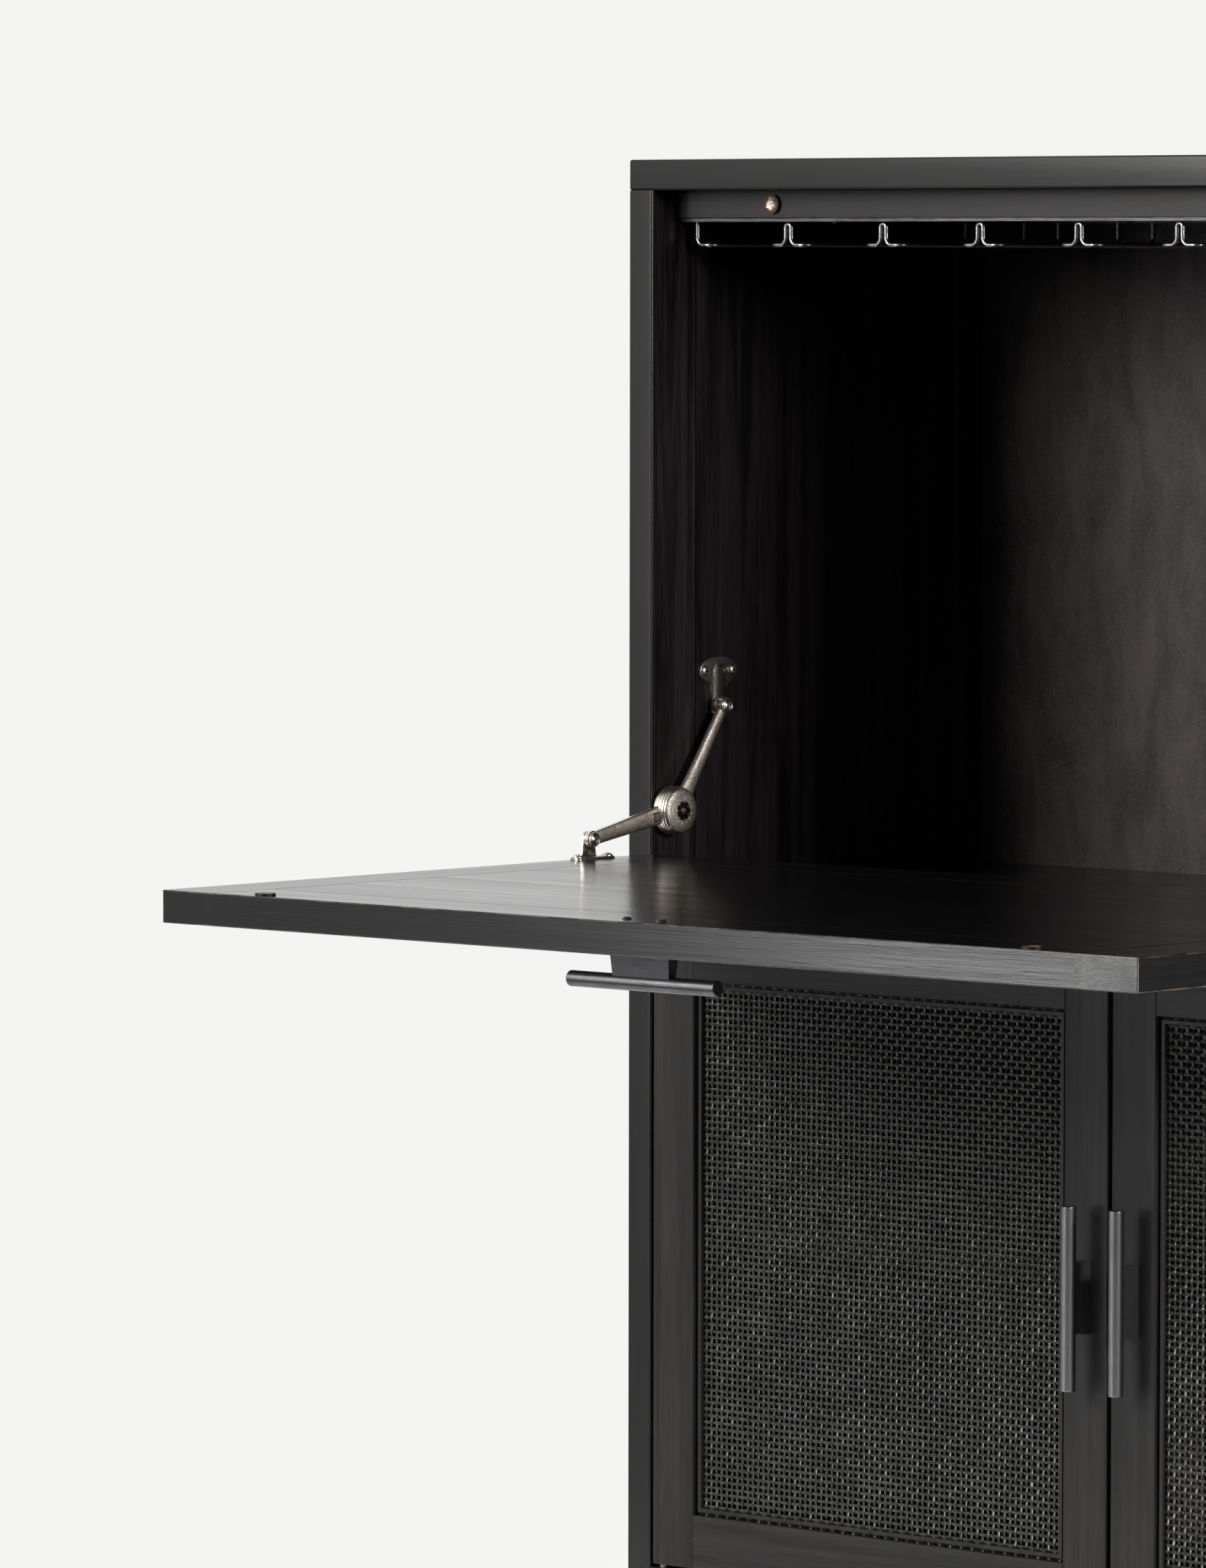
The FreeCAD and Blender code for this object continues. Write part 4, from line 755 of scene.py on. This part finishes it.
for number, door in enumerate(DOORS):
    low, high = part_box(f"{door}_cane")
    form = bmesh.new()
    columns, rows = weave(form, low, high, OUTWARD, random.Random(40 + number))
    sheet = new_piece(f"{door}_woven_cane", form, cane_finish, door, "black_cane", f"{door}_cane")
    triangles = sum(len(p.vertices) - 2 for p in sheet.data.polygons)
    print(sheet.name, columns, "by", rows, "strands,", triangles, "triangles")

# %% [markdown]
# ## Metal finishes
# The handles are dark gunmetal with a fine brushed grain, in two copies whose tones differ as painted light and
# shade: lighter on the door handles, darker on the leaf handle. The rack is black nickel, with its bars painted
# darker as painted shade. The stays are antique nickel, and the hinges are plain steel. One function makes them
# all: a metal is a colour, a gloss, and the marks that a tool left on it. The magnets and the discs that meet them
# have also tarnished at the rim.

# %% Tarnished rims
BRONZE = (0.050, 0.034, 0.023, 1)
RIM_FROM, RIM_TO, RIM_UNEVEN = 0.78, 0.98, 0.6


def rim_share(tree, place, piece, up):
    """0 in the middle and 1 at the rim of two discs, left and right; up is their other axis."""
    low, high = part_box(piece)
    radius = (high[up] - low[up]) / 2
    x, *others = node(tree, "SeparateXYZ", Vector=place).outputs
    across = calc(tree, "SUBTRACT", calc(tree, "ABSOLUTE", x), high[0] - radius)
    along = calc(tree, "SUBTRACT", others[up - 1], (low[up] + high[up]) / 2)
    spot = node(tree, "CombineXYZ", X=across, Y=along).outputs["Vector"]
    uneven = calc(tree, "MULTIPLY", noise(tree, place, 420, 2), RIM_UNEVEN * radius)
    reach = calc(tree, "ADD", vector(tree, "LENGTH", spot), uneven)
    return remap(tree, reach, RIM_FROM * radius, RIM_TO * radius)


print("rims tarnish to", BRONZE[:3])

# %% A metal finish
TOOL_SHARE = 0.75


def metal_finish(name, dark, light, rough, marks, mark_scale, depth, stretch=(1, 1, 1), metallic=1.0, rim=None):
    """Metal with tool marks: dark and light are its tones, marks is how strong the bump is."""
    finish, tree = new_finish(name)
    place = node(tree, "TexCoord").outputs["Object"]
    along = node(tree, "Mapping", Vector=place, Scale=stretch).outputs["Vector"]
    tool = noise(tree, along, mark_scale, 3, 0.6)
    tone = weighted(tree, (tool, TOOL_SHARE), (noise(tree, place, 60, 4), 1 - TOOL_SHARE))
    colour = ramp(tree, tone, [(0.38, dark), (0.60, light)])
    if rim:
        colour = mix_colour(tree, rim_share(tree, place, *rim), colour, BRONZE)
    gloss = remap(tree, tone, 0.35, 0.65, rough + 0.10, rough - 0.05)
    bump = node(tree, "Bump", Strength=marks, Distance=depth, Height=tool)
    coat(tree, colour, gloss, bump, Metallic=metallic)
    return finish


print("tool marks make", TOOL_SHARE, "of the tone")

# %% [markdown]
# Again one row makes one finish. A brushed metal has its marks stretched along the piece. The glides under the
# feet are black plastic, which is the same finish without the metal.

# %% The metal finishes of this cabinet
BRUSHED_UP, BRUSHED_ALONG, DRAWN = (1, 1, 0.02), (0.02, 1, 1), (0.05, 1, 1)
CATCH = ((0.17, 0.125, 0.09), (0.70, 0.62, 0.52), 0.42, 0.5, 700, 0.0002)
CATCH_DISCS = {"leaf_magnets": 2, "leaf_strikes": 1}

# name, dark, light, roughness, then strength, scale and depth of the tool marks, and what differs from the usual
METALS = [
    # the two gunmetal copies differ in tone as painted light and shade: the upright one lighter, the level one darker
    ("gunmetal_upright", (0.15, 0.15, 0.157), (0.31, 0.31, 0.322), 0.33, 0.25, 2400, 0.00006,
     {"stretch": BRUSHED_UP}),
    ("gunmetal_level", (0.064, 0.064, 0.068), (0.142, 0.142, 0.149), 0.30, 0.25, 2400, 0.00006,
     {"stretch": BRUSHED_ALONG}),
    ("rack_nickel", (0.17, 0.167, 0.17), (0.36, 0.353, 0.36), 0.28, 0.1, 500, 0.00005, {}),
    # the bars are painted darker than the runners of the same nickel: painted shade
    ("bar_nickel", (0.05, 0.049, 0.05), (0.11, 0.108, 0.11), 0.42, 0.2, 900, 0.00005, {"stretch": DRAWN}),
    ("pewter", (0.22, 0.188, 0.155), (0.98, 0.89, 0.77), 0.40, 0.85, 1050, 0.0005, {}),
    ("aged_pewter", (0.20, 0.172, 0.142), (0.52, 0.46, 0.39), 0.30, 0.4, 700, 0.0001, {}),
    ("satin_pewter", (0.40, 0.355, 0.30), (0.66, 0.60, 0.52), 0.36, 0.3, 1200, 0.0001, {}),
    ("antique_black", (0.012, 0.010, 0.009), (0.05, 0.043, 0.036), 0.45, 0.3, 1400, 0.0001, {}),
    ("polished_nickel", (0.76, 0.70, 0.62), (0.94, 0.88, 0.79), 0.25, 0.1, 900, 0.00005, {}),
    ("hinge_steel", (0.13, 0.125, 0.12), (0.26, 0.25, 0.24), 0.40, 0.3, 1100, 0.00008, {"stretch": DRAWN}),
    ("glide_plastic", (0.012, 0.012, 0.012), (0.03, 0.03, 0.03), 0.60, 0.4, 1600, 0.0001, {"metallic": 0.0}),
]
for piece, up_axis in CATCH_DISCS.items():
    METALS.append((f"catch_nickel_{piece}", *CATCH, {"rim": (piece, up_axis)}))
for name, *values, more in METALS:
    finishes[name] = metal_finish(name, *values, **more)
print("metal finishes:", [row[0] for row in METALS])

# %% Dress the fittings
STEEL_PARTS = ["deck_hinge_plates", "leaf_hinge_plates", "leaf_hinge_pins", "door_case_pivots", "door_catch",
               "shelf_pins"] + of_doors("pivots", "strike")

# The door handles take the lighter gunmetal and the leaf handle the darker: painted light and shade.
dress(of_doors("handle"), "gunmetal_upright")
dress(["leaf_handle", "leaf_handle_screws"], "gunmetal_level")
dress(["rack_runners"], "rack_nickel")
# The bars and their screws take the darker nickel: painted shade.
dress(["rack_bars", "rack_screws"], "bar_nickel")
for piece in CATCH_DISCS:
    dress([piece], f"catch_nickel_{piece}")
dress(STEEL_PARTS, "hinge_steel")
dress(["foot_glides"], "glide_plastic")
print("dressed", len(STEEL_PARTS), "fittings in steel")

# %% [markdown]
# ## The folding stays
# Each side has a friction stay that lets the leaf down slowly: a bracket on the wall, one on the leaf, and two
# cast arms that meet in a knuckle of stacked discs. The eye goes straight to it in the photograph, and the CAD
# arms are plain bars, so it is made again here in finer form, in the same layers and on the same pivots. Offsets
# are in millimetres from the wall.

# %% Where the pivots are
MM = 0.001
DISC_RADIUS = 20.0

wall_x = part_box("left_wall_bracket")[0].x
leaf_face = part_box("left_leaf_bracket")[0].z
pins = {joint["name"]: joint["pos_m"] for joint in frame["joints"]}
wall_pin = Vector(pins["left_upper_arm_turn"][1:])
leaf_pin = Vector(pins["left_lower_arm_turn"][1:])
upper_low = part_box("left_stay_upper_arm")[0]
knuckle = Vector((upper_low.y, upper_low.z)) + Vector((DISC_RADIUS, DISC_RADIUS)) * MM
print("wall pin", wall_pin, "leaf pin", leaf_pin, "knuckle", knuckle)

# %% [markdown]
# Age has given the casting five skins: hammered faces, polished rims, black hollows, and satin and aged plates.
# Each face takes one by its number. Every part is rows of points, joined row to row.

# %% Skins, turned parts and studs
SKINS = [finishes[name] for name in ("pewter", "polished_nickel", "antique_black", "satin_pewter", "aged_pewter")]
HAMMERED, POLISHED, BLACKENED, SATIN, AGED = range(5)


def join_rows(form, rows, skin_of):
    """Joins each row of points to the next one. skin_of(step, side) gives the skin of a face."""
    rings = [[form.verts.new(point) for point in row] for row in rows]
    for step, (first, second) in enumerate(zip(rings, rings[1:])):
        for k in range(max(len(first), len(second))):
            corners = [first[k % len(first)], first[(k + 1) % len(first)],
                       second[(k + 1) % len(second)], second[k % len(second)]]
            face = form.faces.new(list(dict.fromkeys(corners)))
            face.material_index = skin_of(step, k)
            face.smooth = True
    return rings


def circle(radius, steps):
    """Points round a circle, or its middle alone when the radius is 0."""
    turns = [k * math.tau / steps for k in range(steps if radius else 1)]
    return [(radius * math.cos(turn), radius * math.sin(turn)) for turn in turns]


def runs(*parts):
    """A profile of (radius, offset, skin) rows, from runs of points that share a skin."""
    return [(radius, offset, skin) for skin, *points in parts for radius, offset in points]


def turned(form, centre, profile, steps=40):
    """Turns a profile of (radius, offset, skin) round a line square to the wall."""
    rows = [[(wall_x + offset * MM, centre.x + y * MM, centre.y + z * MM) for y, z in circle(radius, steps)]
            for radius, offset, skin in profile]
    join_rows(form, rows, lambda step, side: profile[step][2])


def stud(form, centre, offset, radius, skin):
    """A small round stud that stands on a face."""
    arc = [(radius * math.cos(t), offset + radius * math.sin(t), skin) for t in (0, 0.5, 1.0)]
    turned(form, centre, arc + [(0, offset + radius, skin)], steps=10)


print("the stay has", len(SKINS), "skins")

# %% [markdown]
# An arm is a loft: the same section, flat at the back and crowned at the front, is set out several times along
# the arm, wider at each step, and skinned. At the knuckle it flares into the disc, as a casting does.

# %% Cast arms
ARM_SECTION = [(-1.0, 0.0), (-1.0, 2.4), (-0.94, 3.4), (-0.80, 4.1), (-0.45, 4.6), (0.0, 4.8),
               (0.45, 4.6), (0.80, 4.1), (0.94, 3.4), (1.0, 2.4), (1.0, 0.0)]
EDGE_FACES = (0, 1, 8, 9)
UPPER_WIDTHS = [(0.0, 8.6), (0.15, 9.0), (0.35, 9.8), (0.55, 10.8), (0.72, 12.2), (0.84, 15.0), (0.92, 19.0)]
LOWER_WIDTHS = [(0.0, 11.0), (0.15, 11.6), (0.35, 12.6), (0.55, 13.6), (0.70, 14.6), (0.82, 15.6), (0.94, 16.6)]


def loft(form, rows, skins, cap=HAMMERED):
    """A closed bar through equal rows of points, with a skin for each side and one for the ends."""
    rings = join_rows(form, rows, lambda step, side: skins[side % len(skins)])
    for end in (rings[0][::-1], rings[-1]):
        form.faces.new(end).material_index = cap


def cast_arm(form, eye, widths, back):
    """A bar from an eye to the knuckle. Widths are (share of the length, full width) pairs."""
    run = knuckle - eye
    across = Vector((run.y, -run.x)).normalized()
    rows = []
    for share, width in widths:
        spots = [eye + run * share + across * (side * width / 2 * MM) for side, lift in ARM_SECTION]
        rows.append([(wall_x + (back + lift) * MM, *spot) for spot, (side, lift) in zip(spots, ARM_SECTION)])
    skins = [POLISHED if k in EDGE_FACES else HAMMERED for k in range(len(ARM_SECTION))]
    loft(form, rows, skins)


print("arms taper over", len(UPPER_WIDTHS), "sections")

# %% [markdown]
# The outer disc has a polished rolled rim and a domed face with a ring of small studs round a dark groove. Turned
# profiles give all of it from a few numbers.

# %% Upper arm
UPPER_BACK = 11.1
OUTER_DISC = runs(
    (SATIN, (0, 11.1)),
    (POLISHED, (18.8, 11.1), (19.8, 11.6), (20.0, 12.6), (19.8, 13.6), (19.2, 14.4), (19.3, 14.8), (18.9, 16.0)),
    (HAMMERED, (17.9, 17.0), (16.2, 17.8), (14.0, 18.4), (12.2, 18.7)),
    (BLACKENED, (7.9, 19.0), (7.6, 18.3), (5.9, 18.3), (5.6, 19.1), (3.6, 19.4), (3.4, 19.0)),
    (POLISHED, (2.8, 19.0), (2.5, 19.7), (1.2, 20.0), (0, 20.1)))
UPPER_EYE = runs(
    (SATIN, (2.6, 5.8)), (POLISHED, (6.2, 5.8), (7.0, 6.4), (7.0, 9.4)), (BLACKENED, (6.4, 9.9)),
    (POLISHED, (6.4, 10.3), (7.0, 10.8), (7.0, 15.2)), (SATIN, (6.4, 15.9), (2.6, 15.9), (2.6, 5.8)))
# how many studs, then the radius of their ring, their offset and their size
STUD_RINGS = [(13, 10.6, 18.7, 0.95), (7, 6.8, 18.2, 0.75)]


def upper_arm(form):
    """The outer disc with its studs, the arm, and the eye on the wall bracket."""
    turned(form, knuckle, OUTER_DISC, steps=56)
    for count, ring, offset, size in STUD_RINGS:
        for k in range(count):
            angle = math.tau * (k + 0.5) / count
            spot = knuckle + Vector((math.cos(angle), math.sin(angle))) * ring * MM
            stud(form, spot, offset, size, POLISHED)
    cast_arm(form, wall_pin, UPPER_WIDTHS, UPPER_BACK)
    turned(form, wall_pin, UPPER_EYE)


print("outer disc has", STUD_RINGS[0][0], "studs")

# %% [markdown]
# The inner disc shows as two bright rings behind the outer one. Near it the lower arm carries a small stop, a
# satin block in a black seat.

# %% Lower arm
LOWER_BACK = 5.7
INNER_DISC = runs(
    (SATIN, (0, 3.0)), (POLISHED, (18.6, 3.0), (19.7, 3.5), (20.0, 4.6), (19.8, 6.2)), (BLACKENED, (19.0, 6.7)),
    (POLISHED, (19.0, 7.0), (19.8, 7.4), (20.0, 8.8), (19.7, 10.1)), (SATIN, (18.8, 10.8), (0, 10.8)))
LOWER_EYE = runs(
    (SATIN, (2.6, 5.3)), (POLISHED, (6.3, 5.3), (7.0, 5.9), (7.0, 9.9)), (SATIN, (6.4, 10.5), (2.6, 10.5), (2.6, 5.3)))
STOP_PLACE = 24.0
# skin, length, width, and offsets of the bottom and the top of each block of the stop
STOP_BLOCKS = [(BLACKENED, 6.8, 7.6, 9.4, 10.55), (SATIN, 5.2, 5.8, 9.4, 10.95)]


def lower_arm(form):
    """The inner disc, the arm with its small stop, and the eye on the leaf bracket."""
    turned(form, knuckle, INNER_DISC, steps=56)
    cast_arm(form, leaf_pin, LOWER_WIDTHS, LOWER_BACK)
    run = (knuckle - leaf_pin).normalized()
    across = Vector((run.y, -run.x))
    middle = knuckle - run * STOP_PLACE * MM
    for skin, long, wide, low, high in STOP_BLOCKS:
        rows = []
        for end in (middle - run * (long / 2 * MM), middle + run * (long / 2 * MM)):
            corners = ((-1, low), (-1, high), (1, high), (1, low))
            rows.append([(wall_x + offset * MM, *(end + across * (side * wide / 2 * MM)))
                         for side, offset in corners])
        loft(form, rows, [skin])
    turned(form, leaf_pin, LOWER_EYE)


print("stop sits", STOP_PLACE, "mm from the knuckle")

# %% [markdown]
# Both brackets are pressed from plate with a rounded lip, and end in a rivet with a hollow head. For the lip the
# outline is set out four times and drawn in at the last two.

# %% Rivets and plates
PLATE = 2.0
RIVET_SHANK = 2.4
RIVET_HEAD = runs(
    (SATIN, (2.4, 0.0)), (POLISHED, (6.0, 0.0), (6.0, 0.7), (5.5, 1.5), (4.7, 1.9)), (SATIN, (4.2, 1.6)),
    (BLACKENED, (3.9, 0.9)), (POLISHED, (3.2, 0.9), (2.5, 1.4), (1.5, 1.8), (0, 2.0)))


def rivet(form, centre, start, seat):
    """A rivet through an eye, with a hollow head."""
    shank = [(0, start, SATIN), (RIVET_SHANK, start, SATIN), (RIVET_SHANK, seat, SATIN)]
    turned(form, centre, shank, steps=20)
    turned(form, centre, [(radius, seat + rise, skin) for radius, rise, skin in RIVET_HEAD])


def plate(form, outline, back, lip):
    """A plate along the wall with a rounded lip. Its outline is in frame (y, z)."""
    front = back + PLATE
    middle = sum(outline, Vector((0, 0))) / len(outline)
    layers = ((back, 0.0), (front - lip, 0.0), (front - lip * 0.3, lip * 0.3), (front, lip))
    rows = [[(wall_x + offset * MM, *(point + (middle - point).normalized() * inset * MM)) for point in outline]
            for offset, inset in layers]
    loft(form, rows, [POLISHED], AGED)


print("plates are", PLATE, "mm thick")

# %% [markdown]
# The wall bracket is a shield with two screws, and a tongue that leaves the wall so that the arm clears it. The
# press leaves a bright crest along the front of the tongue.

# %% Wall bracket
SCREW_RISE = 28.5
SCREW_BACK = 6.0
SHIELD = [(-21.6, 3.6), (-18.6, 6.6), (-14.0, 8.9), (-7.5, 10.5), (0, 11.0), (7.5, 10.5), (14.0, 8.9), (18.6, 6.6),
          (21.6, 3.6), (23.0, 0.0), (22.2, -3.9), (19.6, -6.9), (16.0, -9.0), (12.4, -10.6), (10.6, -13.0),
          (-9.0, -13.0), (-11.2, -10.6), (-15.2, -9.0), (-19.4, -6.9), (-22.2, -3.9), (-23.0, 0.0)]
# height above the pin, back edge at the wall, crest from and to, right edge, and how far it stands off
TONGUE = [(34.0, 1.4, 1.6, 4.4, 13.0, 2.15), (30.0, 0.2, 0.8, 4.6, 14.0, 2.9), (24.0, -1.8, -0.2, 4.2, 14.5, 3.5),
          (17.0, -3.8, -1.2, 3.4, 12.6, 4.2), (10.0, -3.2, -2.0, 2.4, 10.6, 4.9), (3.0, -2.8, -2.7, 1.0, 8.0, 5.5),
          (-3.0, -3.2, -3.1, -0.8, 4.6, 5.5), (-6.4, -3.6, -3.5, -2.4, 0.0, 5.5)]
TONGUE_SKINS = [AGED, POLISHED, POLISHED, POLISHED, AGED, AGED, SATIN, AGED]
shield_middle = wall_pin + Vector((SCREW_BACK, SCREW_RISE)) * MM


def wall_bracket(form):
    """Shield, tongue with a bright crest, and rivet."""
    plate(form, [shield_middle + Vector(point) * MM for point in SHIELD], 0.0, lip=0.7)
    rows = []
    for height, rear, crest, crest_end, edge, off in TONGUE:
        section = [(rear, 0.2), (crest - 0.2, off - 1.0), (crest + 0.3, off - 0.1),
                   ((crest + crest_end) / 2, off + 0.35), (crest_end, off - 0.1), (edge - 0.8, off - 0.3),
                   (edge, off - 0.9), (edge, max(off - 2.2, 0.1))]
        rows.append([(wall_x + offset * MM, wall_pin.x + back * MM, wall_pin.y + height * MM)
                     for back, offset in section])
    loft(form, rows, TONGUE_SKINS)
    rivet(form, wall_pin, start=3.5, seat=16.2)


print("shield has", len(SHIELD), "points, tongue", len(TONGUE), "sections")

# %% [markdown]
# The leaf bracket is a base with round corners, screwed down on the leaf, and an ear bent up from it.

# %% Leaf bracket
EAR = [(-9.6, 0.0), (-8.2, 5.0), (-7.2, 13.0), (-6.6, 18.0), (-4.6, 21.4), (0.0, 23.0), (4.6, 21.4), (6.7, 18.0),
       (7.4, 13.0), (8.6, 5.0), (9.6, 0.0)]
EAR_OFFSET = 3.0
BASE_HALF = (22.5, 6.0)
BASE_ROUND = 4
BASE_POINTS = 24
# rise and inset of each layer of the base
BASE_LAYERS = [(0.0, 0.0), (1.4, 0.0), (1.8, 0.25), (PLATE, 0.7)]
base_x = wall_x + (EAR_OFFSET + BASE_HALF[1]) * MM


def leaf_bracket(form):
    """Base on the leaf, an ear bent up from it, and rivet."""
    ear = [Vector((leaf_pin.x + back * MM, leaf_face + rise * MM)) for back, rise in EAR]
    plate(form, ear[::-1], EAR_OFFSET, lip=0.6)
    long, wide = BASE_HALF
    centre = Vector((base_x, leaf_pin.x))
    outline = []
    for k in range(BASE_POINTS):
        angle = math.tau * (k + 0.5) / BASE_POINTS
        way = Vector((math.cos(angle), math.sin(angle)))
        corner = Vector((math.copysign(wide - BASE_ROUND, way.x), math.copysign(long - BASE_ROUND, way.y)))
        outline.append(centre + (corner + way * BASE_ROUND) * MM)
    rows = [[(p.x + (centre.x - p.x) * inset / wide, p.y + (centre.y - p.y) * inset / long, leaf_face + rise * MM)
             for p in outline] for rise, inset in BASE_LAYERS]
    loft(form, rows, [AGED], AGED)
    rivet(form, leaf_pin, start=EAR_OFFSET, seat=10.8)


print("base is", 2 * BASE_HALF[0], "by", 2 * BASE_HALF[1], "mm")

# %% [markdown]
# The screws have polished domed heads with a cross cut in them. A dome is a turned profile, and the cross is two
# dark bars let into it.

# %% Screws of the brackets
SCREW_HEAD = [(4.6, 0.0), (4.6, 0.5), (4.1, 1.3), (3.1, 2.0), (1.7, 2.4), (0.0, 2.5)]
CROSS_BARS = [(3.6, 0.8), (0.8, 3.6)]
CROSS_FROM, CROSS_TO = 2.0, 2.52
SCREW_SPREAD = 17.0
LEAF_SCREW_SPREAD = 17.5


def domed_screw(form, seat, way, steps=28):
    """A domed head with a cross, standing on seat and pointing way."""
    turn = Vector((0, 0, 1)).rotation_difference(way).to_matrix()

    def level(points, rise):
        return [seat + turn @ Vector((x, y, rise)) * MM for x, y in points]

    dome = [level(circle(radius, steps), rise) for radius, rise in SCREW_HEAD]
    rings = join_rows(form, dome, lambda step, side: POLISHED)
    form.faces.new(rings[0][::-1]).material_index = POLISHED
    for long, wide in CROSS_BARS:
        corners = [(x * long / 2, y * wide / 2) for x, y in ((-1, -1), (1, -1), (1, 1), (-1, 1))]
        loft(form, [level(corners, CROSS_FROM), level(corners, CROSS_TO)], [BLACKENED], BLACKENED)


def wall_screws(form):
    """Two screws through the shield."""
    for way in (-1, 1):
        place = shield_middle.x + way * SCREW_SPREAD * MM
        domed_screw(form, Vector((wall_x + PLATE * MM, place, shield_middle.y)), Vector((1, 0, 0)))


def leaf_screws(form):
    """Two screws through the base on the leaf."""
    for way in (-1, 1):
        place = leaf_pin.x + way * LEAF_SCREW_SPREAD * MM
        domed_screw(form, Vector((base_x, place, leaf_face + PLATE * MM)), Vector((0, 0, 1)))


print("screw heads are", 2 * SCREW_HEAD[0][0], "mm across")

# %% [markdown]
# Each piece is built for the left side and mirrored for the right. A mirror turns faces inside out, so they are
# turned back. The piece then takes the place of its plain CAD twin and rides on the same body.

# %% Make the stays on both sides
CAST_TURN = math.radians(38)


def stay_piece(name, build, sides, body, *stands_for):
    """Builds a piece of the stay for the left, the mirrored right, or both in one."""
    form = bmesh.new()
    for side in sides:
        old_verts, old_faces = len(form.verts), len(form.faces)
        build(form)
        verts, faces = list(form.verts)[old_verts:], list(form.faces)[old_faces:]
        bmesh.ops.recalc_face_normals(form, faces=faces)
        if side == "right":
            bmesh.ops.scale(form, vec=(-1, 1, 1), verts=verts)
            bmesh.ops.reverse_faces(form, faces=faces)
    piece = new_piece(name, form, SKINS[0], body, "pewter", *stands_for)
    for skin in SKINS[1:]:
        piece.data.materials.append(skin)
    piece.data.set_sharp_from_angle(angle=CAST_TURN)
    print(name, len(piece.data.polygons), "faces")


for side in ("left", "right"):
    stay_piece(f"{side}_stay_upper_casting", upper_arm, [side], f"{side}_upper_arm", f"{side}_stay_upper_arm")
    stay_piece(f"{side}_stay_lower_casting", lower_arm, [side], f"{side}_lower_arm", f"{side}_stay_lower_arm")
    stay_piece(f"{side}_stay_wall_bracket", wall_bracket, [side], "carcass", f"{side}_wall_bracket")
    stay_piece(f"{side}_stay_leaf_bracket", leaf_bracket, [side], "leaf", f"{side}_leaf_bracket")
stay_piece("stay_wall_screws", wall_screws, ["left", "right"], "carcass", "wall_bracket_screws")
stay_piece("stay_leaf_screws", leaf_screws, ["left", "right"], "leaf", "leaf_bracket_screws")

# %% [markdown]
# ## Nodes without a finish
# Last, the shown nodes whose first material has no node tree are listed.

# %% List the nodes without a finish
bare = [name for name, thing in nodes.items() if not thing.hide_render and not thing.data.materials[0].use_nodes]
print("nodes without a finish:", bare)
